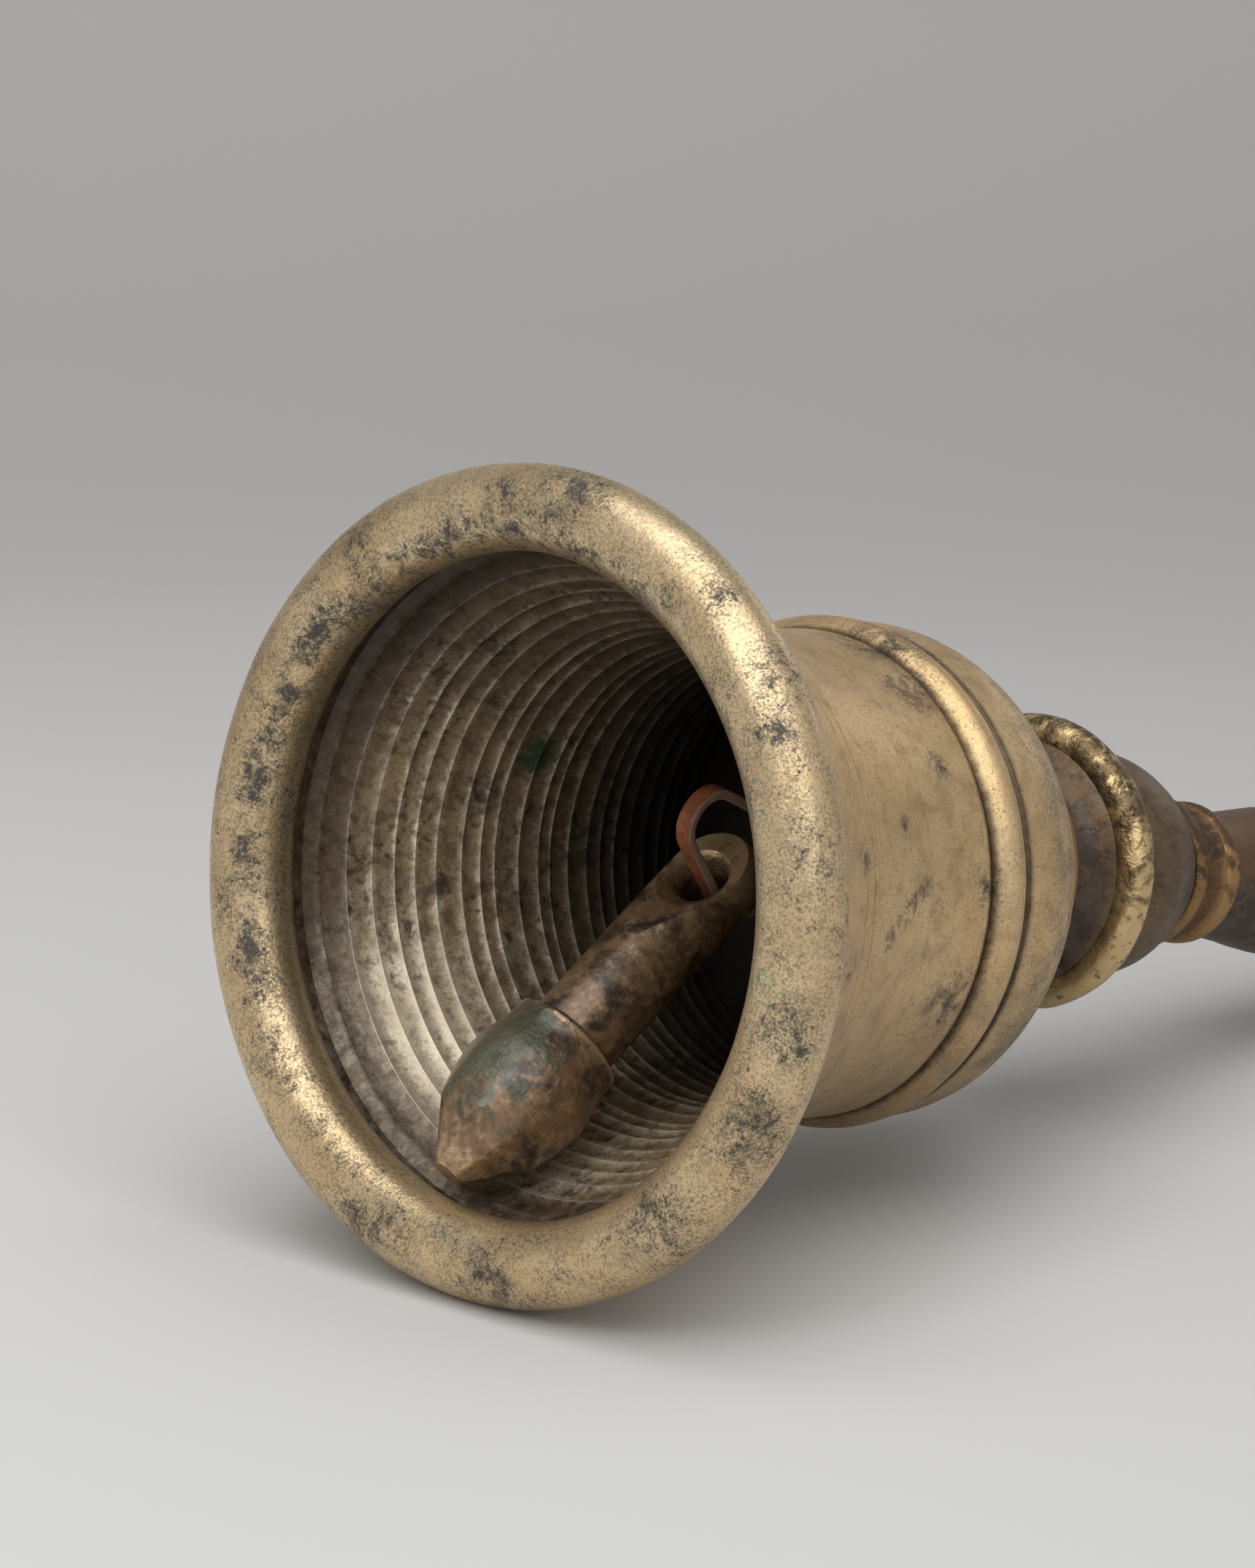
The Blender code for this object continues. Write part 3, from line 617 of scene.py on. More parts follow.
@dataclass(frozen=True)
class AgedBronze:
    """Turned bronze under a dark patina, rubbed bright where hands and cloths reach it.

    It reads the wear and the tint that a piece notes on each vertex.  Wear bares the metal as
    it rises between the two values of rub, up to the share bright.  Lumps are in mm.
    """

    name: str
    metal: str
    patina: str
    tinge: str
    dust: str
    bright: float
    roughness: float
    lumps: float
    rub: tuple[float, float]
    tint: str
    pit: str = "#221B16"
    pitting: float = 0.3
    bare: float = 0.7
    skin: float = 0.0
    skin_roughness: float = 0.2

    def make(self, place: Matrix) -> bpy.types.Material:
        """Build the material on a piece's frame.

        Args:
            place: Frame that the patterns are laid out in.

        Returns:
            The material.
        """
        material, tree, shader = new_material(self.name)
        pat = Patterns(tree, place)
        wear, tint = pat.noted("wear", "tint")
        ragged = pat.clouds(1.5, 5.0).rise(0.25, 0.75)
        worn = (wear + ragged * 0.35).rise(*self.rub) * self.bright
        patch = (tint + pat.clouds(3.0, 5.0, 0.6).rise(0.3, 0.7) * 0.6).rise(0.6, 1.0)
        pits = pat.clouds(1.3).rise(0.56, 0.66) * self.pitting
        colour = pat.layers(self.patina, [
            (pat.clouds(5.0, 5.0, 0.5).rise(0.42, 0.62), self.tinge),
            (pat.clouds(0.8).rise(0.56, 0.72) * 0.4, self.dust),
            (worn, self.metal), (patch * 0.8, self.tint), (pits, self.pit)])
        dull = worn * -0.2 + (self.roughness + 0.2) + pits * 0.2
        height = pat.clouds(2.0, 5.0).rise(0.2, 0.8) * (patch + 0.4) + pits * -0.6
        bump = node(tree, "Bump", {"Height": height, "Strength": 0.8,
                                   "Distance": self.lumps * MM})
        fill(shader, {"Base Color": colour, "Roughness": dull, "Metallic": worn * 0.3 + self.bare,
                      "Coat Weight": self.skin, "Coat Roughness": self.skin_roughness,
                      "Normal": bump.outputs[0]})
        return material


# Lace cut from vegetable tanned hide.  To the eye it is a dry red-brown with dark pores, worn
# lighter in places, between pale cut edges.
@dataclass(frozen=True)
class TanLeather:
    """Dry vegetable tanned lace: red-brown face with pores, pale cut edges.  Lengths are in mm."""

    face: str = "#7E4528"
    worn: str = "#A0592E"
    dark: str = "#45230F"
    edge: str = "#B7A896"
    half_width: float = 1.2
    pore: float = 0.45
    pore_depth: float = 0.05
    roughness: float = 0.62

    def make(self, place: Matrix) -> bpy.types.Material:
        """Build the material on the thong's frame.

        Args:
            place: Frame of the thong, with Y across the lace.

        Returns:
            The material.
        """
        material, tree, shader = new_material("vegetable tanned leather lace")
        pat = Patterns(tree, place)
        side = Level.of(tree, "Math", {0: pat.axes()[1]}, operation="ABSOLUTE")
        cut = side.rise(0.86 * self.half_width, 0.97 * self.half_width)
        # Pores of 0.1 mm are drawn coarser so that they show.
        pores = pat.clouds(self.pore, 2.0).rise(0.55, 0.70)
        colour = pat.layers(self.face, [
            (pat.clouds(2.5).rise(0.45, 0.70), self.worn),
            (pores * 0.6, self.dark),
            (cut * 0.6, self.edge)])
        bump = node(tree, "Bump", {"Height": pores, "Strength": 0.6,
                                   "Distance": self.pore_depth * MM}, invert=True)
        fill(shader, {"Base Color": colour, "Roughness": self.roughness,
                      "Normal": bump.outputs[0]})
        return material


# Wrought iron from the forge.  To the eye it is nearly black and lumpy from the hammer, with
# brown rust and a little bare grey metal.
@dataclass(frozen=True)
class ForgedIron:
    """Hammered wrought iron: black scale with brown rust in the hollows.  Lumps are in mm."""

    scale: str = "#3A3430"
    rust: str = "#5A3A26"
    bare: str = "#6C655E"
    metallic: float = 0.7
    roughness: float = 0.5
    lumps: float = 0.15

    def make(self, place: Matrix) -> bpy.types.Material:
        """Build the material on the tang's frame.

        Args:
            place: Frame of the tang.

        Returns:
            The material.
        """
        material, tree, shader = new_material("wrought iron, forged")
        pat = Patterns(tree, place)
        rust = pat.clouds(2.2, 5.0).rise(0.50, 0.66)
        colour = pat.layers(self.scale, [
            (pat.clouds(5.0, 3.0).rise(0.45, 0.65) * 0.5, self.bare), (rust, self.rust)])
        bump = node(tree, "Bump", {"Height": pat.clouds(1.6).rise(0.2, 0.8), "Strength": 0.7,
                                   "Distance": self.lumps * MM})
        fill(shader, {"Base Color": colour, "Roughness": rust * 0.25 + self.roughness,
                      "Metallic": self.metallic, "Normal": bump.outputs[0]})
        return material


# A black-brown skin with a soft sheen, that shows gold only on the proudest edges.
DARK_BRONZE = AgedBronze(
    "bronze under a dark patina", metal="#9A7C52", patina="#574B41", tinge="#403830",
    dust="#8A7C68", bright=0.3, roughness=0.36, lumps=0.12, rub=(0.7, 1.25), tint="#6B5238",
    skin=0.15)
# Brown metal that is rubbed to a dull gold over most of a ring.
WORN_BRONZE = AgedBronze(
    "bronze, dark and rubbed", metal="#B08C60", patina="#6E583E", tinge="#6E543A",
    dust="#94866F", bright=0.85, roughness=0.46, lumps=0.12, rub=(0.2, 0.85), tint="#4A3C30")
# Bright gold with sharp highlights, lumpy, with black dirt in its pits.
POLISHED_BRONZE = AgedBronze(
    "bronze, rubbed bright", metal="#D8BC8A", patina="#A88C62", tinge="#7C6648",
    dust="#A89A82", bright=1.0, roughness=0.26, lumps=0.22, pitting=0.6, rub=(0.2, 0.8),
    tint="#2C241E")
# Dull brown metal with little gold and dark patches.
DULL_BRONZE = AgedBronze(
    "bronze, dark and dull", metal="#A58254", patina="#6C5439", tinge="#64492D",
    dust="#8A7C66", bright=0.7, roughness=0.40, lumps=0.12, rub=(0.35, 1.0), tint="#40342A")
# Brown metal under a glossy skin, grey-green on the bulb, with gold on its rim, tip and head.
CLAPPER_BRONZE = AgedBronze(
    "clapper bronze, handled", metal="#E0C294", patina="#86684A", tinge="#3F3128",
    dust="#9C8C70", bright=0.85, roughness=0.24, lumps=0.18, pitting=0.4, rub=(0.62, 1.10),
    tint="#585E4E", bare=0.5, skin=0.7)


# The bell

@dataclass
class BellShell:
    """Cast and turned bell: rolled lip, flare, lines, bead, dome, and a ringed inside.

    Each row of fillet is a distance before the first ring, a share of the wall and the grime,
    which in this crease is partly painted shade.
    """

    mouth_radius: float = 0.0500
    lip_roll: float = 0.0052
    lip_land: float = 0.0020
    lip_points: int = 44
    inner_lip_end: float = math.radians(230.0)
    inner_lip_points: int = 40
    wall: float = 0.0033
    root_drop: float = 0.0006
    waist_radius: float = 0.0307
    waist_end: float = 0.0540
    flare_power: float = 2.16
    flare_step: float = 0.0006
    flare_points: int = 78
    lines: tuple[float, ...] = (0.0290, 0.0314)
    line_width: float = 0.0005
    line_depth: float = 0.00014
    bead_station: float = 0.0606
    bead_width: float = 0.0054
    bead_height: float = 0.0012
    bead_points: int = 24
    bead_grime: float = 0.0011
    groove: float = 0.0005
    groove_grime: float = 0.0008
    shoulder_steps: tuple[float, ...] = (0.0008, 0.0016, 0.0026)
    shoulder_radius: float = 0.0316
    shoulder_station: float = 0.0680
    dome_height: float = 0.0215
    dome_points: int = 44
    inner_dome_points: int = 24
    fullness: float = 0.0084
    seat_radius: float = 0.0166
    seat_grime: float = 0.0012
    crown: float = 0.0040
    crown_inner: float = 0.0105
    bore: float = 0.0033
    inside_start: float = 0.0062
    inside_blend: float = 0.0024
    fillet: tuple[tuple[float, float, float], ...] = ((0.0012, 0.86, 1.0), (0.0004, 0.97, 0.95))
    ring_pitch: float = 0.0027
    ring_depth: float = 0.00034
    ring_points: int = 9
    ring_lead: float = 0.0003
    ring_end: float = 0.003
    lip_dirt_radius: float = 41.6    # mm, as the stains are
    lip_dirt_width: float = 1.9
    lip_dirt_end: float = 6.0
    swell: float = 0.012
    swell_height: float = 0.00022
    crease: float = 40.0
    steps: int = 200
    stains: tuple[Stain, ...] = (
        Stain(7.5, 41.6, 0.7, 4.5), Stain(-1.7, 40.0, 7.4, 6.0), Stain(-19.4, 35.6, 2.3, 5.5),
        Stain(-5.1, 40.8, 1.7, 4.0), Stain(-37.8, 26.4, 0.2, 6.0), Stain(-48.4, -6.8, 2.1, 7.0),
        Stain(-47.0, 3.7, 0.6, 4.0), Stain(-29.8, -39.3, 2.9, 6.0), Stain(-25.1, -41.6, 1.8, 5.0),
        Stain(-10.7, -47.2, 1.6, 5.0), Stain(6.3, -47.0, 0.8, 4.5), Stain(10.2, -47.9, 2.2, 4.5),
        Stain(20.2, -43.8, 1.5, 6.5), Stain(34.9, -31.6, 0.6, 9.0), Stain(46.9, -6.2, 0.7, 8.0),
        Stain(43.0, 13.5, 0.1, 7.0), Stain(-39.5, 7.0, 3.2, 5.5), Stain(-41.9, -3.2, 0.9, 5.0),
        Stain(-34.8, 20.4, 2.6, 6.0), Stain(-30.0, 26.7, 2.7, 5.0), Stain(-37.3, -24.0, 0.1, 4.0),
        Stain(-38.1, -30.1, 1.8, 4.5), Stain(-25.5, -17.0, 54.0, 7.0), Stain(-29.2, -8.4, 58.1, 9.0),
        Stain(-3.3, -30.3, 56.6, 3.5), Stain(-17.6, -25.3, 51.1, 3.0), Stain(-11.0, -29.8, 40.3, 2.4),
        Stain(-8.2, -34.1, 28.3, 3.0), Stain(11.4, -28.5, 53.3, 6.0), Stain(4.3, -35.8, 25.6, 3.0),
        Stain(12.0, 28.5, 48.0, 6.0), Stain(-20.0, 24.0, 44.0, 5.0), Stain(25.0, 18.0, 60.0, 6.0),
        Stain(-4.1, -31.0, 44.5, 2.2), Stain(-2.9, -31.3, 42.8, 2.2), Stain(-1.6, -31.6, 41.1, 2.2),
        Stain(-0.5, -31.9, 39.5, 2.2), Stain(0.7, -32.3, 37.8, 2.2), Stain(1.9, -32.6, 36.1, 2.2),
        Stain(-5.1, 30.4, 31.2, 4.5), Stain(-25.0, 22.6, 23.3, 6.0), Stain(6.0, 32.0, 26.0, 4.0))
    greens: tuple[Stain, ...] = (
        Stain(-11.0, 27.2, 36.8, 5.0), Stain(40.6, 3.7, 2.0, 4.0), Stain(3.1, -44.0, 0.1, 4.0),
        Stain(-17.8, -40.3, 0.1, 3.5), Stain(-14.9, -40.0, 0.6, 3.5), Stain(38.0, 12.0, 8.0, 5.0))

    @property
    def lip_centre(self) -> float:
        """Radius of the circle that the lip's roll follows."""
        return self.mouth_radius - self.lip_roll

    @property
    def flare_station(self) -> float:
        """Station where the flare leaves the lip."""
        return self.lip_roll + math.sqrt(self.lip_roll ** 2 - self.root_drop ** 2)

    @property
    def seat(self) -> float:
        """Station of the flat that the handle sits on."""
        return self.shoulder_station + self.dome_height

    def waist(self, station: float) -> float:
        """Outside radius of the flared waist.

        Args:
            station: Station on the waist.

        Returns:
            The radius.
        """
        share = (self.waist_end - station) / (self.waist_end - self.flare_station)
        flare = self.lip_centre - self.root_drop - self.waist_radius
        return self.waist_radius + flare * min(1.0, max(0.0, share)) ** self.flare_power

    def lip(self, start: float, end: float, count: int) -> list[tuple[float, float]]:
        """Points on the lip's roll.

        Args:
            start: First angle round the roll.
            end: Last angle.
            count: Number of steps between them.

        Returns:
            Radii and stations.
        """
        angles = [start + (end - start) * i / count for i in range(count + 1)]
        return [(self.lip_centre + self.lip_roll * math.cos(a),
                 self.lip_roll + self.lip_roll * math.sin(a)) for a in angles]

    def dome(self, radius: float, start: float, end: tuple[float, float],
             count: int) -> list[tuple[float, float]]:
        """Points on the dome's curve from a straight side to a flat.

        Args:
            radius: Radius of the side.
            start: Station where the side ends.
            end: Radius and station where the flat begins.
            count: Number of steps.

        Returns:
            Radii and stations.
        """
        points = []
        for i in range(count + 1):
            t = i / count
            side, turn_over, flat = (1.0 - t) ** 2, 2.0 * t * (1.0 - t), t * t
            points.append((radius * (side + turn_over) + end[0] * flat,
                           start * side + (start + self.fullness) * turn_over + end[1] * flat))
        return points

    def outside(self) -> list[Mark]:
        """Section from the front of the lip over the outside to the seat of the handle.

        Returns:
            Points of the section.
        """
        land = math.asin(0.5 * self.lip_land / self.lip_roll)
        back = math.acos(-self.root_drop / self.lip_roll)
        marks = [Mark(*p) for p in self.lip(land - 0.5 * math.pi, back, self.lip_points)]
        bead_start = self.bead_station - 0.5 * self.bead_width
        half = 0.5 * self.line_width
        stations = [self.flare_station + self.flare_step * i
                    for i in range(1, self.flare_points + 1)]
        for line in self.lines:
            stations = [s for s in stations if abs(s - line) > 1.2 * half]
            stations += [line + k * half for k in (-1.0, -0.4, 0.0, 0.4, 1.0)]
        for s in sorted(stations):
            if s < bead_start - 0.1 * MM:
                cut = max(0.0, *(1.0 - abs(s - line) / half for line in self.lines))
                grime = max(0.75 * cut, hump(s - bead_start, self.bead_grime))
                marks.append(Mark(self.waist(s) - self.line_depth * cut, s, grime=grime))
        root = self.waist_radius - self.groove
        for i in range(self.bead_points + 1):
            u = i / self.bead_points
            rise = (self.bead_height + self.groove) * math.sin(math.pi * u) ** 0.7
            marks.append(Mark(root + rise + (self.shoulder_radius - self.waist_radius) * u,
                              bead_start + self.bead_width * u,
                              grime=max(0.0, 1.0 - 5.0 * min(u, 1.0 - u))))
        step = bead_start + self.bead_width + self.groove
        marks.append(Mark(self.shoulder_radius, step, grime=0.9))
        marks += [Mark(self.shoulder_radius, step + s, grime=math.exp(-s / self.groove_grime))
                  for s in self.shoulder_steps]
        marks += [Mark(*p, grime=max(0.0, 1.0 - (self.seat - p[1]) / self.seat_grime))
                  for p in self.dome(self.shoulder_radius, self.shoulder_station,
                                     (self.seat_radius, self.seat), self.dome_points)]
        return marks

    def inside(self) -> list[Mark]:
        """Section from the front of the lip over the ringed inside to the crown.

        Returns:
            Points of the section.
        """
        land = math.asin(0.5 * self.lip_land / self.lip_roll)
        marks = []
        for radius, station in self.lip(-0.5 * math.pi - land, -self.inner_lip_end,
                                        self.inner_lip_points):
            # Grime on the lip's inner side: partly dirt, partly painted shade where the crease
            # begins.
            past = max(0.0, station - self.inside_start) / self.inside_blend
            marks.append(Mark(radius, station, min(1.0, past), 0.4, min(1.0, 0.9 * past)))
        start = self.flare_station + 0.25 * self.lip_roll
        for before, share, grime in self.fillet:
            place = start - before
            marks.append(Mark(self.waist(place) - share * self.wall, place, 1.0, 0.0, grime))
        station, count = start + self.ring_lead, 0
        end = self.shoulder_station - 0.5 * self.wall
        while station < end - self.ring_end:
            # The turner's hand made the rings uneven in width and depth.
            pitch = self.ring_pitch * (1.0 + 0.20 * math.sin(1.7 * count)
                                       + 0.14 * math.sin(4.1 * count + 1.0))
            depth = self.ring_depth * (1.0 + 0.35 * math.sin(2.3 * count + 0.5))
            for i in range(self.ring_points):
                u = ease(i / self.ring_points)
                scoop = math.sin(math.pi * u) ** 0.8
                place = station + pitch * u
                marks.append(Mark(self.waist(place) - self.wall + depth * scoop, place, 1.0,
                                  1.0 - scoop, max(0.0, 0.9 - 0.6 * count)))
            station += pitch
            count += 1
        inner = self.shoulder_radius - self.wall
        top = (self.crown_inner, self.seat - self.crown)
        marks += [Mark(*p, 1.0, 0.3) for p in self.dome(inner, end, top, self.inner_dome_points)]
        return marks

    def painted_wall_light(self, spot: Vector) -> float:
        """Painted light that brightens the ring crests low on the wall.

        Args:
            spot: Place in mm.

        Returns:
            Share from 0 to a little over 1.
        """
        low = ramp(spot.x, 2.0, 26.0)
        beside = ramp(spot.y, -12.0, 12.0)
        deep = ramp(spot.z, 20.0, 36.0)
        return 1.15 * low * beside * (1.0 - 0.75 * deep)

    def dirt(self, spot: Vector) -> float:
        """Dirt in patches, and along the lip's inner side, where it is thickest on top.

        Args:
            spot: Place in mm.

        Returns:
            Share from 0 to 1.
        """
        away = math.hypot(spot.x, spot.y) - self.lip_dirt_radius
        above = ramp(spot.y - spot.x, -62.5, 62.5)
        band = (0.05 + 0.95 * above) * hump(away, self.lip_dirt_width)
        return max(band if spot.z < self.lip_dirt_end else 0.0, nearness(spot, self.stains))

    def soot(self, spot: Vector) -> float:
        """Painted shade of the inside: darker deep down and under the top of the wall.

        Args:
            spot: Place in mm.

        Returns:
            Share from 0 to 1.
        """
        deep = ramp(spot.z, 22.0, 64.0)
        high = ramp(-spot.x, 4.0, 30.0)
        return 1.0 - (1.0 - 0.96 * deep) * (1.0 - 0.55 * high)

    def build(self) -> bpy.types.Object:
        """Turn, place and dress the bell.

        Returns:
            The finished piece.
        """
        marks = self.outside()
        marks += [Mark(self.bore, self.seat), Mark(self.bore, self.seat - self.crown, 1.0)]
        marks += self.inside()[::-1]
        marks.append(marks[0])
        piece = turn("bell_casting", [mark[:2] for mark in marks], self.steps)
        tree = KDTree(len(marks))
        for i, mark in enumerate(marks):
            tree.insert((mark.radius, mark.station, 0.0), i)
        tree.balance()
        near = [marks[tree.find((math.hypot(v.co.x, v.co.y), v.co.z, 0.0))[1]]
                for v in piece.data.vertices]
        spots = [v.co / MM for v in piece.data.vertices]
        note(piece, inside=[mark.inside for mark in near],
             # crest holds the rings' crests plus painted light low on the wall.
             crest=[mark.crest + self.painted_wall_light(spot) for mark, spot in zip(near, spots)],
             grime=[mark.grime for mark in near], stain=[self.dirt(spot) for spot in spots],
             green=[nearness(spot, self.greens) for spot in spots],
             soot=[self.soot(spot) for spot in spots])
        settle(piece, BELL_PLACE)
        roughen(piece, self.swell, self.swell_height)
        smooth(piece, self.crease)
        hand_over(piece, CastBronze().make(BELL_PLACE), Body.BELL, Slot.CAST, "bell_shell")
        return piece


# The handle

@dataclass
class Turning:
    """One moulding threaded on the tang: its shape, sizes and finish.

    Foot, crest and head are radii, and where is the crest's place as a share of the length.
    """

    node: str
    shape: Moulding
    length: float
    foot: float
    crest: float
    head: float
    finish: AgedBronze
    slot: Slot
    where: float = 0.5
    count: int = 28
    patchy: float = 0.2
    bedded: bool = False

    def side(self, start: float) -> list[tuple[float, float]]:
        """Outer outline.

        Args:
            start: Station of the foot.

        Returns:
            Radii and stations.
        """
        points = []
        for i in range(self.count + 1):
            u = i / self.count
            rising = u < self.where
            v = u / self.where if rising else (u - self.where) / (1.0 - self.where)
            along = start + self.length * u
            if self.shape is Moulding.BEAD:
                along = start + self.length * ease(u)
                radius = self.foot + (self.crest - self.foot) * math.sin(math.pi * u)
            elif self.shape is Moulding.COVE:
                radius = (self.foot * (1 - u) * (1 - 2 * u) + self.crest * 4 * u * (1 - u)
                          + self.head * u * (2 * u - 1))
            elif self.shape is Moulding.KNOP and rising:
                radius = self.foot + (self.crest - self.foot) * math.sin(0.5 * math.pi * v)
            elif self.shape is Moulding.KNOP:
                radius = self.head + (self.crest - self.head) * math.cos(0.5 * math.pi * v)
            elif self.shape is Moulding.VASE and rising:
                radius = self.foot + (self.crest - self.foot) * ease(v)
            elif self.shape is Moulding.VASE:
                radius = self.crest + (self.head - self.crest) * ease(v)
            elif self.shape is Moulding.BALL:
                low = -math.acos(self.foot / self.crest)
                angle = low + (math.acos(self.head / self.crest) - low) * u
                radius = self.crest * math.cos(angle)
                along = start + self.crest * (math.sin(angle) - math.sin(low))
            else:
                rim = 0.25 * self.length
                slope = max(0.0, rim - min(u, 1.0 - u) * self.length) / rim
                radius = self.crest - rim * slope ** 2
            points.append((radius, along))
        return points


@dataclass
class TurnedHandle:
    """Mouldings from the crown to the end, and the washer inside the bell."""

    bore: float = 0.0033
    seat: float = 0.0895
    crown: float = 0.0040
    washer: Turning = field(default_factory=lambda: Turning(
        "crown_washer", Moulding.WASHER, 0.0012, 0.0085, 0.0085, 0.0085, WORN_BRONZE, Slot.IRON,
        count=16))
    in_bell: list[Turning] = field(default_factory=lambda: [
        Turning("base_ring", Moulding.BEAD, 0.0036, 0.01594, 0.0172, 0.01594, WORN_BRONZE,
                Slot.WORN),
        Turning("neck_cove", Moulding.COVE, 0.0080, 0.0156, 0.0132, 0.0164, DARK_BRONZE,
                Slot.DARK, patchy=0.5),
        Turning("collar_ring", Moulding.BEAD, 0.0054, 0.0168, 0.0196, 0.0168, POLISHED_BRONZE,
                Slot.POLISHED, patchy=0.62)])
    in_handle: list[Turning] = field(default_factory=lambda: [
        Turning("domed_knop", Moulding.KNOP, 0.0202, 0.0138, 0.0153, 0.0102, DARK_BRONZE,
                Slot.DARK, where=0.40, count=40, patchy=0.3, bedded=True),
        Turning("knop_ring", Moulding.BEAD, 0.0026, 0.01008, 0.0106, 0.01008, DULL_BRONZE,
                Slot.WORN, patchy=0.8),
        Turning("stem_cove", Moulding.COVE, 0.0050, 0.0096, 0.0091, 0.0096, DULL_BRONZE,
                Slot.DARK, patchy=0.6),
        Turning("stem_ring", Moulding.BEAD, 0.0034, 0.00878, 0.0098, 0.00878, WORN_BRONZE,
                Slot.WORN, patchy=0.7),
        Turning("grip", Moulding.VASE, 0.0496, 0.0085, 0.0106, 0.0066, DARK_BRONZE,
                Slot.DARK, where=0.48, count=48, patchy=0.9),
        Turning("grip_ring", Moulding.BEAD, 0.0036, 0.00772, 0.0088, 0.00772, WORN_BRONZE,
                Slot.WORN),
        Turning("end_knop", Moulding.BALL, 0.02179, 0.0066, 0.0125, 0.0056, DARK_BRONZE,
                Slot.DARK, count=40, patchy=0.5),
        Turning("end_washer", Moulding.WASHER, 0.0012, 0.0052, 0.0052, 0.0052, WORN_BRONZE,
                Slot.WORN, count=16)])
    tint_side: tuple[float, float] = (-0.8, -0.6)    # the side of the patches, from the axis
    swell: float = 0.004
    swell_height: float = 0.00022
    polished_height: float = 0.00030
    crease: float = 40.0
    steps: int = 96

    @property
    def bend(self) -> float:
        """Station where the handle leans away from the bell's axis."""
        return self.seat + sum(GAP + t.length for t in self.in_bell) + 0.5 * GAP

    @property
    def place(self) -> Matrix:
        """Frame of the leaning part of the handle."""
        lean = Matrix.Rotation(LEAN, 4, "Y")
        return BELL_PLACE @ Matrix.Translation((0.0, 0.0, self.bend)) @ lean

    def thread(self, turning: Turning, start: float, place: Matrix) -> None:
        """Turn one moulding, place it on the tang and dress it.

        Args:
            turning: The moulding.
            start: Station of its foot in its frame.
            place: The bell's or the handle's frame.
        """
        side = turning.side(start)
        if turning.bedded:
            side.insert(0, (turning.foot, start - 2.0 * turning.foot * math.tan(LEAN)))
        loop = side + [(self.bore, side[-1][1]), (self.bore, side[0][1]), side[0]]
        piece = turn(turning.node + "_turning", loop, self.steps)
        if turning.bedded:
            self.bed(piece, start)
        radii = [radius for radius, _ in side]
        low, span = min(radii), max(max(radii) - min(radii), 0.4 * MM)
        note(piece, wear=[(math.hypot(v.co.x, v.co.y) - low) / span for v in piece.data.vertices],
             tint=[turning.patchy * max(0.0, v.co.to_2d().normalized().dot(self.tint_side))
                   for v in piece.data.vertices])
        settle(piece, place)
        polished = turning.slot is Slot.POLISHED
        roughen(piece, self.swell, self.polished_height if polished else self.swell_height)
        smooth(piece, self.crease)
        hand_over(piece, turning.finish.make(place), Body.BELL, turning.slot, turning.node)

    def bed(self, piece: bpy.types.Object, start: float) -> None:
        """Cut the knop's foot square to the bell's axis, where it beds on the collar."""
        normal = Vector((math.sin(LEAN), 0.0, -math.cos(LEAN)))
        cut_off(piece, normal * -start, normal)

    def build(self) -> None:
        """Thread every moulding on the tang, and the washer under the crown."""
        self.thread(self.washer, self.seat - self.crown - GAP - self.washer.length, BELL_PLACE)
        for row, station, place in ((self.in_bell, self.seat + GAP, BELL_PLACE),
                                    (self.in_handle, 0.5 * GAP, self.place)):
            for turning in row:
                self.thread(turning, station, place)
                station += turning.length + GAP


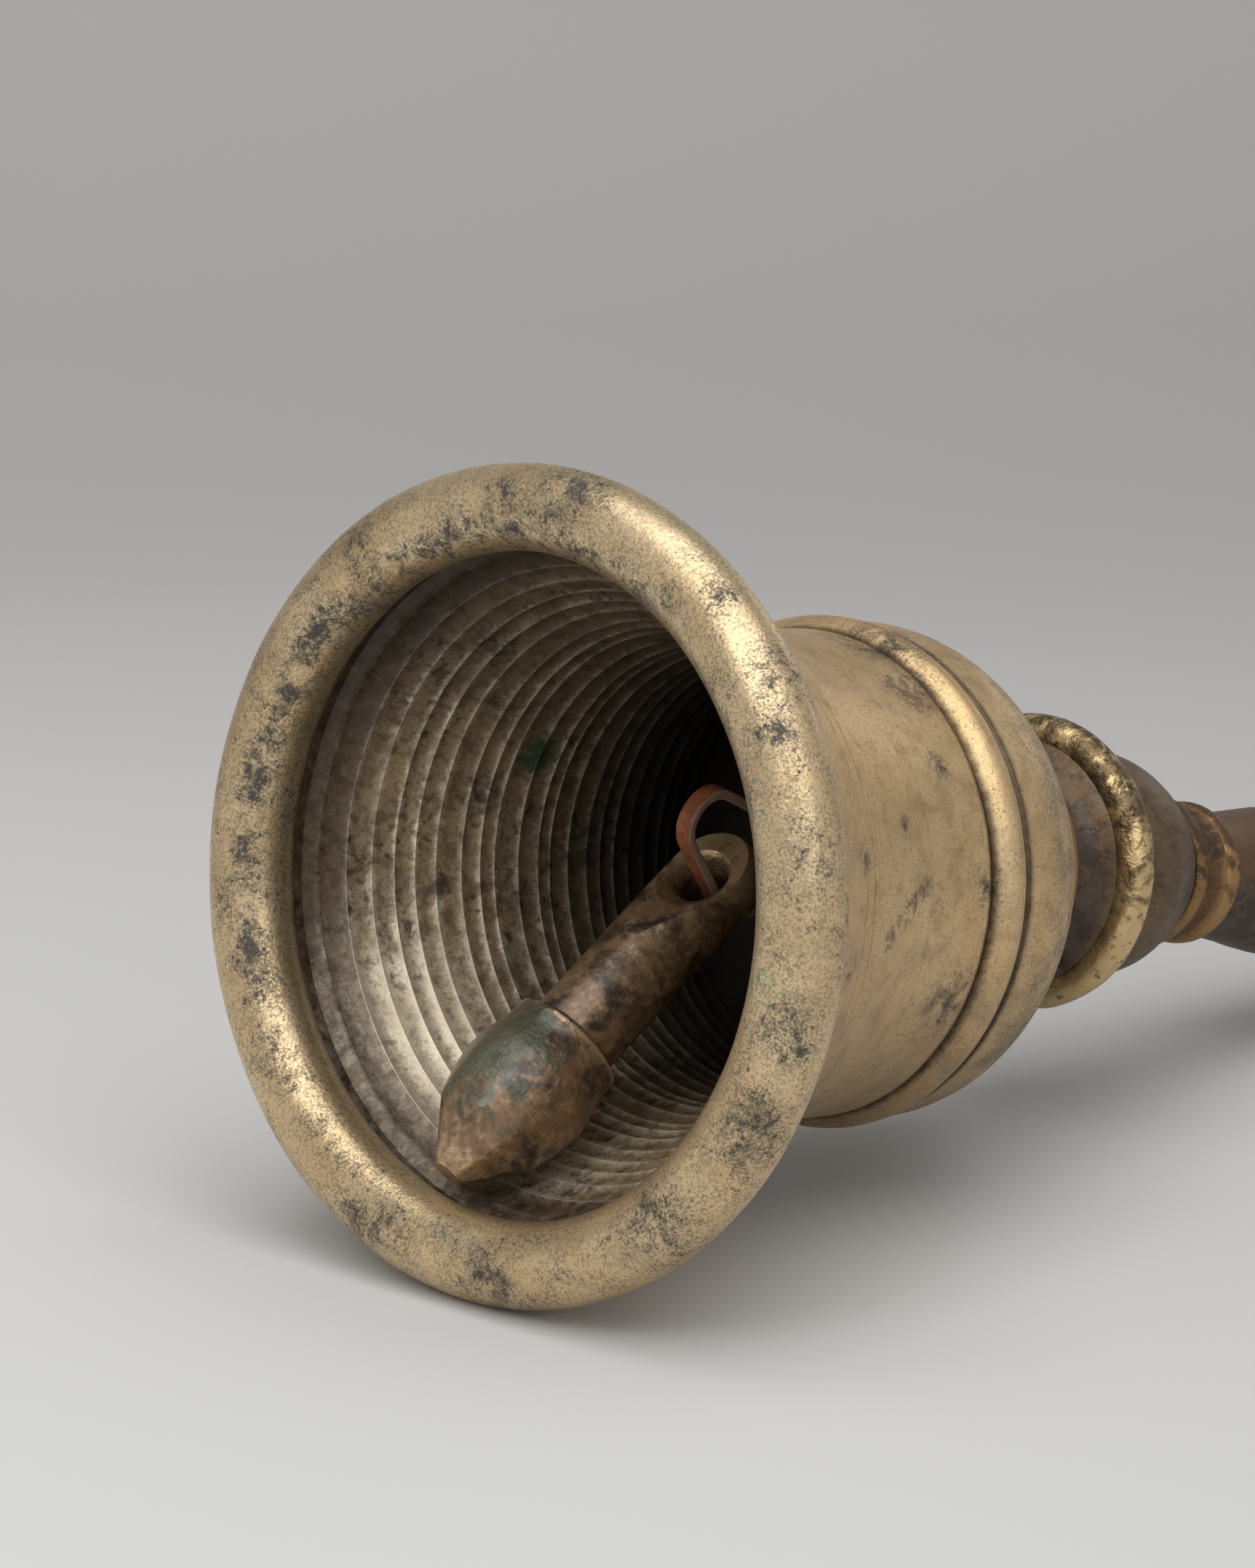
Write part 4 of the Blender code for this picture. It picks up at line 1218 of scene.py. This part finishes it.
@dataclass
class HandleTang:
    """Iron rod through bell and handle, with a forged eye inside and a riveted end."""

    eye_station: float = 0.0680
    eye_radius: float = 0.0063
    wire: float = 0.0018
    radius: float = 0.0030
    shoulder: float = 0.0055
    shoulder_start: float = 0.0819
    shoulder_end: float = 0.0837
    rivet: float = 0.0042
    rivet_start: float = 0.10994
    rivet_height: float = 0.0020
    swell: float = 0.004
    swell_height: float = 0.00018
    crease: float = 45.0
    round_steps: int = 8
    eye_steps: int = 72
    wire_steps: int = 24
    steps: int = 48

    def side(self, bend: float) -> list[tuple[float, float]]:
        """Outline of the straight rod from the eye to the rivet, axis to axis.

        Args:
            bend: Station where the rod is bent.

        Returns:
            Radii and stations.
        """
        root = 0.75 * self.wire
        start = self.eye_station + self.eye_radius - 0.65 * self.wire
        neck = 0.5 * (self.eye_station + self.eye_radius - self.wire + self.shoulder_start)
        end = bend + self.rivet_start
        outline = [(0.0, start), (root, start)]
        for i in range(1, self.round_steps + 1):
            share = i / self.round_steps
            outline.append((root + (self.radius - root) * ease(share),
                            start + (neck - start) * share))
        outline += [(self.radius, self.shoulder_start), (self.shoulder, self.shoulder_start),
                    (self.shoulder, self.shoulder_end), (self.radius, self.shoulder_end),
                    (self.radius, bend), (self.radius, end), (self.rivet, end)]
        for i in range(1, self.round_steps):
            angle = 0.5 * math.pi * i / self.round_steps
            outline.append((self.rivet * math.cos(angle),
                            end + self.rivet_height * math.sin(angle)))
        return outline + [(0.0, end + self.rivet_height)]

    def build(self, bend: float) -> bpy.types.Object:
        """Forge the rod and its eye, and dress them.

        Args:
            bend: Station where the rod is bent.

        Returns:
            The finished piece.
        """
        rod = turn("tang_forging", self.side(bend), self.steps)
        stations = [vert.co.z for vert in rod.data.vertices]
        for edge in (bend - MERGE, bend + MERGE):
            pick(rod, [station > edge for station in stations])
            bpy.ops.transform.rotate(value=-0.5 * LEAN, orient_axis="Y",
                                     center_override=(0.0, 0.0, bend))
            bpy.ops.object.mode_set(mode="OBJECT")
        lay_tools_down()
        bpy.ops.mesh.primitive_torus_add(major_radius=self.eye_radius, minor_radius=self.wire,
                                         major_segments=self.eye_steps,
                                         minor_segments=self.wire_steps)
        eye = bpy.context.object
        settle(eye, Matrix.Translation((0.0, 0.0, self.eye_station))
               @ Matrix.Rotation(ROLL + 0.5 * math.pi, 4, "Z")
               @ Matrix.Rotation(0.5 * math.pi, 4, "X"))
        work(rod, eye, "UNION")
        settle(rod, BELL_PLACE)
        roughen(rod, self.swell, self.swell_height)
        smooth(rod, self.crease)
        hand_over(rod, ForgedIron().make(BELL_PLACE), Body.BELL, Slot.IRON, "handle_tang")
        return rod


# Thong and clapper

@dataclass
class LeatherThong:
    """Leather lace sewn to a loop round the tang's eye and through the clapper's."""

    bar_station: float = 0.0617
    width: float = 0.0024
    thickness: float = 0.0013
    length: float = 0.0213
    droop: float = math.radians(5.1)
    bight_radius: float = 0.0040
    bight_reach: float = 0.0085
    heel_radius: float = 0.0030
    heel_reach: float = 0.0038
    offset: float = 0.0004
    eye_wire: float = 0.0018
    edge: float = 0.0003
    edge_angle: float = math.radians(50.0)
    bend_step: float = math.radians(7.0)
    straight_steps: int = 8
    strips: int = 6
    swell: float = 0.003
    swell_height: float = 0.00016
    crease: float = 60.0

    @property
    def place(self) -> Matrix:
        """Frame of the thong: Y along the eye's bar, Z along the bell."""
        return SWING_PLACE @ Matrix.Translation((0.0, 0.0, self.bar_station))

    def path(self) -> list[Vector]:
        """Centre line drawn tight round the bight, the heel and the eye's bar.

        Returns:
            Points of the lace's edge, once round the loop.
        """
        eye = Vector((-math.cos(self.droop), -math.sin(self.droop))) * self.length
        head = Vector((math.cos(CLAPPER_ANGLE), math.sin(CLAPPER_ANGLE)))
        through = Vector((-head.y, head.x))
        strand = eye + self.offset * head
        bar = self.eye_wire + 2.0 * GAP + 0.5 * self.thickness
        circles = [
            (strand + self.bight_reach * through + self.bight_radius * head, self.bight_radius),
            (strand - self.heel_reach * through + self.heel_radius * head, self.heel_radius),
            (Vector((0.0, 0.0)), bar)]
        leave = []
        for i, (centre, radius) in enumerate(circles):
            other, other_radius = circles[(i + 1) % 3]
            apart = other - centre
            leave.append(math.atan2(apart.y, apart.x)
                         - math.acos((radius - other_radius) / apart.length))
        points = []
        for i, (centre, radius) in enumerate(circles):
            sweep = (leave[i] - leave[i - 1]) % (2.0 * math.pi)
            count = max(4, round(sweep / self.bend_step))
            ring = [centre + radius * Vector((math.cos(leave[i - 1] + sweep * k / count),
                                              math.sin(leave[i - 1] + sweep * k / count)))
                    for k in range(count + 1)]
            other, other_radius = circles[(i + 1) % 3]
            last = other + other_radius * Vector((math.cos(leave[i]), math.sin(leave[i])))
            points += ring + [ring[-1].lerp(last, k / self.straight_steps)
                              for k in range(1, self.straight_steps)]
        return [Vector((-p.y, -0.5 * self.width, p.x)) for p in points]

    def build(self) -> bpy.types.Object:
        """Cut, bend and dress the lace.

        Returns:
            The finished piece.
        """
        points = self.path()
        piece = draw_line("leather_lace", points + [points[0]])
        bpy.ops.mesh.remove_doubles(threshold=MERGE)
        for _ in range(self.strips):
            bpy.ops.mesh.extrude_edges_move(
                TRANSFORM_OT_translate={"value": (0.0, self.width / self.strips, 0.0)})
        face_outwards()
        bpy.ops.object.modifier_add(type="SOLIDIFY")
        wall = piece.modifiers[-1]
        wall.thickness, wall.offset, wall.use_even_offset = self.thickness, 0.0, True
        bpy.ops.object.modifier_apply(modifier=wall.name)
        bpy.ops.object.modifier_add(type="BEVEL")
        rounded = piece.modifiers[-1]
        rounded.width, rounded.segments = self.edge, 3
        rounded.limit_method, rounded.angle_limit = "ANGLE", self.edge_angle
        bpy.ops.object.modifier_apply(modifier=rounded.name)
        settle(piece, self.place)
        roughen(piece, self.swell, self.swell_height)
        smooth(piece, self.crease)
        hand_over(piece, TanLeather().make(self.place), Body.THONG, Slot.LEATHER, "thong")
        return piece


@dataclass
class Clapper:
    """Bronze clapper: faceted tip, full bulb with a step, shank and a flat pierced head."""

    tip_down: float = 0.036861
    tip_station: float = 0.0063013
    length: float = 0.0570
    tip: float = 0.0027
    cone_length: float = 0.0065
    cone: float = 0.0070
    bulb_station: float = 0.0145
    bulb: float = 0.0086
    step_station: float = 0.0214
    step: float = 0.0076
    shank: float = 0.0059
    head_thickness: float = 0.0060
    flat_length: float = 0.0195
    run_out: float = math.radians(14.0)
    eye_radius: float = 0.0032
    eye_flare: float = 0.0009
    eye_inset: float = 0.0081
    eye_steps: int = 12
    drill_steps: int = 48
    facets: tuple[float, ...] = (0.25, 1.05, 1.95, 2.95, 3.80, 4.65, 5.55)
    flat_share: float = 0.925
    rim_station: float = 0.0221
    rim_wear: float = 0.0006
    tip_wear: float = 0.007
    head_wear: float = 0.011
    least_wear: float = 0.48
    tint_station: float = 0.015
    tint_length: float = 0.0085
    tint_fade: float = 0.012
    swell: float = 0.006
    swell_height: float = 0.00030
    crease: float = 24.0
    cone_steps: int = 10
    bulb_steps: int = 14
    shank_steps: int = 30
    head_steps: int = 12
    steps: int = 112

    @property
    def place(self) -> Matrix:
        """Frame of the clapper: Z from its tip to its head, Y along its hinge."""
        return (SWING_PLACE @ Matrix.Translation((self.tip_down, 0.0, self.tip_station))
                @ Matrix.Rotation(-CLAPPER_ANGLE, 4, "Y"))

    @property
    def chamfer(self) -> float:
        """Width and height of the chamfer round the blunt tip."""
        return 0.35 * self.tip

    def side(self) -> list[tuple[float, float]]:
        """Outline from the tip to the head, axis to axis.

        Returns:
            Radii and stations.
        """
        points = [(0.0, 0.0), (self.tip - self.chamfer, 0.0), (self.tip, self.chamfer)]
        for i in range(1, self.cone_steps + 1):
            u = i / self.cone_steps
            points.append((self.tip + (self.cone - self.tip) * u,
                           self.chamfer + (self.cone_length - self.chamfer) * u))
        for i in range(1, self.bulb_steps + 1):
            u = i / self.bulb_steps
            points.append((self.cone + (self.bulb - self.cone) * math.sin(0.5 * math.pi * u),
                           self.cone_length + (self.bulb_station - self.cone_length) * u))
        for i in range(1, self.bulb_steps + 1):
            u = i / self.bulb_steps
            points.append((self.bulb + (self.step - self.bulb) * ease(u),
                           self.bulb_station + (self.step_station - self.bulb_station) * u))
        drop = 0.25 * (self.step - self.shank)
        points += [(self.step, self.step_station + 1.6 * drop),
                   (self.step - 0.15 * drop, self.step_station + 2.0 * drop),
                   (self.shank + 0.4 * drop, self.step_station + 3.4 * drop),
                   (self.shank, self.step_station + 4.2 * drop)]
        start, head = points[-1][1], self.length - 1.15 * self.shank
        points += [(self.shank, start + (head - start) * i / self.shank_steps)
                   for i in range(1, self.shank_steps + 1)]
        for i in range(1, self.head_steps):
            angle = 0.5 * math.pi * i / self.head_steps
            points.append((self.shank * math.cos(angle),
                           head + (self.length - head) * math.sin(angle)))
        return points + [(0.0, self.length)]

    def file_tip(self, piece: bpy.types.Object) -> None:
        """File flats round the tip, as the smith did.

        Args:
            piece: The turned clapper.
        """
        low = self.flat_share * self.tip
        slope = math.atan2(self.flat_share * self.cone - low, self.cone_length - self.chamfer)
        for facet in self.facets:
            out = Vector((math.cos(facet), math.sin(facet), 0.0))
            cut_off(piece, low * out + Vector((0.0, 0.0, self.chamfer)),
                    math.cos(slope) * out - Vector((0.0, 0.0, math.sin(slope))))

    def file_head(self, piece: bpy.types.Object) -> None:
        """File the head flat on both sides, with flats that run out down the shank.

        Args:
            piece: The turned clapper.
        """
        level, start = 0.5 * self.head_thickness, self.length - self.flat_length
        reach, run = 2.0 * self.shank, math.tan(self.run_out)
        section = [Vector((x, -reach, z)) for x, z in (
            (level, start + (self.shank - level) / run), (level, self.length + reach),
            (reach, self.length + reach), (reach, start - (reach - self.shank) / run))]
        for side in (0.0, math.pi):
            block = draw_line("file_block", section + section[:1])
            bpy.ops.mesh.remove_doubles(threshold=MERGE)
            bpy.ops.mesh.edge_face_add()
            bpy.ops.mesh.extrude_region_move(
                TRANSFORM_OT_translate={"value": (0.0, 2.0 * reach, 0.0)})
            face_outwards()
            settle(block, Matrix.Rotation(side, 4, "Z"))
            work(piece, block, "DIFFERENCE")

    def pierce_head(self, piece: bpy.types.Object) -> None:
        """Drill the eye through the head, flared where the thong has worn it.

        Args:
            piece: The clapper with its head filed flat.
        """
        reach = self.head_thickness
        clear = self.eye_radius + self.eye_flare + 0.6 * reach
        outline = [(0.0, -reach), (clear, -reach)]
        for i in range(self.eye_steps + 1):
            share = 2.0 * i / self.eye_steps - 1.0
            outline.append((self.eye_radius + self.eye_flare * abs(share) ** 3,
                            0.5 * self.head_thickness * share))
        outline += [(clear, reach), (0.0, reach)]
        drill = turn("eye_drill", outline, self.drill_steps)
        settle(drill, Matrix.Translation((0.0, 0.0, self.length - self.eye_inset))
               @ Matrix.Rotation(0.5 * math.pi, 4, "Y"))
        work(piece, drill, "DIFFERENCE")

    def note_wear(self, piece: bpy.types.Object) -> None:
        """Note where the clapper is rubbed bright, and where it is tinted green.

        Args:
            piece: The clapper in its own frame.
        """
        wear, tint = [], []
        for _, y, z in (vert.co for vert in piece.data.vertices):
            rim = hump(z - self.rim_station, self.rim_wear)
            tip = 0.72 * hump(z, self.tip_wear)
            wear.append(max(rim, tip, hump(z - self.length, self.head_wear), self.least_wear))
            beside = min(1.0, max(0.0, 0.9 + y / self.tint_fade))
            tint.append(1.1 * hump(z - self.tint_station, self.tint_length) * beside)
        note(piece, wear=wear, tint=tint)

    def build(self) -> bpy.types.Object:
        """Turn, file, pierce and dress the clapper.

        Returns:
            The finished piece.
        """
        piece = turn("clapper_casting", self.side(), self.steps)
        self.file_tip(piece)
        self.file_head(piece)
        self.pierce_head(piece)
        self.note_wear(piece)
        settle(piece, self.place)
        roughen(piece, self.swell, self.swell_height)
        smooth(piece, self.crease)
        hand_over(piece, CLAPPER_BRONZE.make(self.place), Body.CLAPPER, Slot.CLAPPER, "clapper")
        return piece


# The studio

# Matt paper, rolled out and curved up behind the bell.  To the eye it is a pale grey without gloss,
# whose colour carries painted shade that darkens it softly towards the back and to the right.
@dataclass(frozen=True)
class PaperSweep:
    """Matt grey paper: tones_with_painted_shade by distance from the camera, and the painted shade
    that darkens it to the right.

    Distances in tones_with_painted_shade and span are in metres, those in fall_from and close_from in
    mm.
    """

    # Painted shade and painted light: the tone darkens away from the camera and lightens again up the
    # curve.
    tones_with_painted_shade: tuple[tuple[float, str], ...] = (
        (0.40, "#D9DADA"), (0.58, "#D6D6D6"), (0.74, "#CFCFCE"), (0.95, "#C4C3C2"),
        (1.15, "#B9B7B6"), (1.26, "#B8B5B4"), (1.42, "#BFBDBC"), (1.60, "#C3C1C0"))
    span: float = 2.0
    right_shade_strength: float = 0.24
    fall_from: tuple[float, float] = (-150.0, 200.0)
    far_share: float = 0.45
    close_from: tuple[float, float] = (700.0, 1150.0)
    shadow: str = "#000000"
    roughness: float = 0.9
    gloss: float = 0.1

    def make(self, place: Matrix) -> bpy.types.Material:
        """Build the material on the camera's place on the floor.

        Args:
            place: Frame under the camera, with Y away from it.

        Returns:
            The material.
        """
        material, tree, shader = new_material("matt paper sweep")
        pat = Patterns(tree, place)
        across, away, _ = pat.axes()
        share = node(tree, "MapRange", {"Value": away, "From Max": self.span / MM}).outputs[0]
        graded = node(tree, "ValToRGB", {0: share})
        stops = graded.color_ramp.elements
        for distance, code in self.tones_with_painted_shade[1:-1]:
            stops.new(distance / self.span).color = linear(code)
        for stop, (distance, code) in ((stops[0], self.tones_with_painted_shade[0]), (stops[-1], self.tones_with_painted_shade[-1])):
            stop.position, stop.color = distance / self.span, linear(code)
        # Painted shade: the paper is mixed towards black to the right, less so far from the camera.
        right_shade = Level.of(tree, "MapRange", {
            "Value": across, "From Min": self.fall_from[0], "From Max": self.fall_from[1],
            "To Max": self.right_shade_strength})
        close = Level.of(tree, "MapRange", {
            "Value": away, "From Min": self.close_from[0], "From Max": self.close_from[1],
            "To Min": 1.0, "To Max": self.far_share})
        fill(shader, {"Base Color": pat.layers(graded.outputs[0], [(right_shade * close, self.shadow)]),
                      "Roughness": self.roughness, "Specular IOR Level": self.gloss})
        return material


@dataclass
class Studio:
    """Pale sweep, soft light and the camera."""

    camera_at: tuple[float, float, float] = (-0.515508, -0.404444, 0.193488)
    camera_turn: tuple[float, float, float] = (77.2138, 0.0, -47.1409)
    lens: float = 116.2
    sensor: float = 36.0
    sweep_start: float = 1.05
    sweep_radius: float = 0.9
    sweep_steps: int = 24
    wall_height: float = 2.0
    half_width: float = 6.0
    crease: float = 60.0
    softboxes: tuple[Softbox, ...] = (
        Softbox("overhead_softbox", (-0.19, -0.23, 0.85), (-0.10, -0.10, 0.0), (0.85, 1.05), 4.9),
        Softbox("front_softbox", (-0.40, -0.95, 0.70), (-0.05, 0.0, 0.03), (0.7, 0.7), 1.3),
        Softbox("left_softbox", (-0.93, -0.20, 0.85), (-0.10, 0.0, 0.05), (0.35, 0.5), 1.9),
        Softbox("right_softbox", (1.20, 0.02, 0.46), (-0.05, 0.0, 0.05), (0.6, 0.35), 0.6))
    room: str = "#C9C8C6"
    room_strength: float = 0.96

    def camera(self) -> None:
        """Set the camera where the photographer stood."""
        lay_tools_down()
        bpy.ops.object.camera_add(location=self.camera_at,
                                  rotation=[math.radians(a) for a in self.camera_turn])
        eye = bpy.context.object
        eye.data.lens, eye.data.sensor_height = self.lens, self.sensor
        eye.data.sensor_fit = "VERTICAL"
        eye.data.clip_start = 0.01
        bpy.context.scene.camera = eye

    def floor(self) -> None:
        """Lay a floor that sweeps up into a backdrop."""
        points = [Vector((0.0, -self.half_width, 0.0)), Vector((0.0, self.sweep_start, 0.0))]
        for i in range(1, self.sweep_steps + 1):
            angle = 0.5 * math.pi * i / self.sweep_steps
            points.append(Vector((0.0, self.sweep_start + self.sweep_radius * math.sin(angle),
                                  self.sweep_radius * (1.0 - math.cos(angle)))))
        points.append(points[-1] + Vector((0.0, 0.0, self.wall_height)))
        left = Vector((self.half_width, 0.0, 0.0))
        sweep = draw_line("studio_sweep", [point - left for point in points])
        bpy.ops.mesh.extrude_edges_move(TRANSFORM_OT_translate={"value": 2.0 * left})
        face_outwards()
        place = (Matrix.Translation((self.camera_at[0], self.camera_at[1], 0.0))
                 @ Matrix.Rotation(math.radians(self.camera_turn[2]), 4, "Z"))
        settle(sweep, place)
        smooth(sweep, self.crease)
        sweep.data.materials.append(PaperSweep().make(place))

    def hang(self, box: Softbox) -> None:
        """Hang one softbox.

        Args:
            box: The softbox.
        """
        lay_tools_down()
        turn_to = (Vector(box.aim) - Vector(box.at)).to_track_quat("-Z", "Y").to_euler()
        bpy.ops.object.light_add(type="AREA", location=box.at, rotation=turn_to)
        lamp = bpy.context.object
        lamp.name = box.name
        lamp.data.shape, lamp.data.energy = "RECTANGLE", box.power
        lamp.data.size, lamp.data.size_y = box.size

    def light(self) -> None:
        """Light the bell softly from above, with fills from the front and both sides."""
        for box in self.softboxes:
            self.hang(box)
        world = bpy.data.worlds.new("soft room")
        world.use_nodes = True
        fill(world.node_tree.nodes["Background"],
             {"Color": linear(self.room), "Strength": self.room_strength})
        bpy.context.scene.world = world
        bpy.context.scene.view_settings.view_transform = "Standard"

    def build(self) -> None:
        """Set up camera, sweep and light."""
        self.camera()
        self.floor()
        self.light()


def main() -> None:
    """Build the bell piece by piece and report each one."""
    logging.basicConfig(level=logging.INFO, format="%(message)s")
    Studio().build()
    BellShell().build()
    handle = TurnedHandle()
    handle.build()
    HandleTang().build(handle.bend)
    LeatherThong().build()
    Clapper().build()


if __name__ == "__main__":
    main()
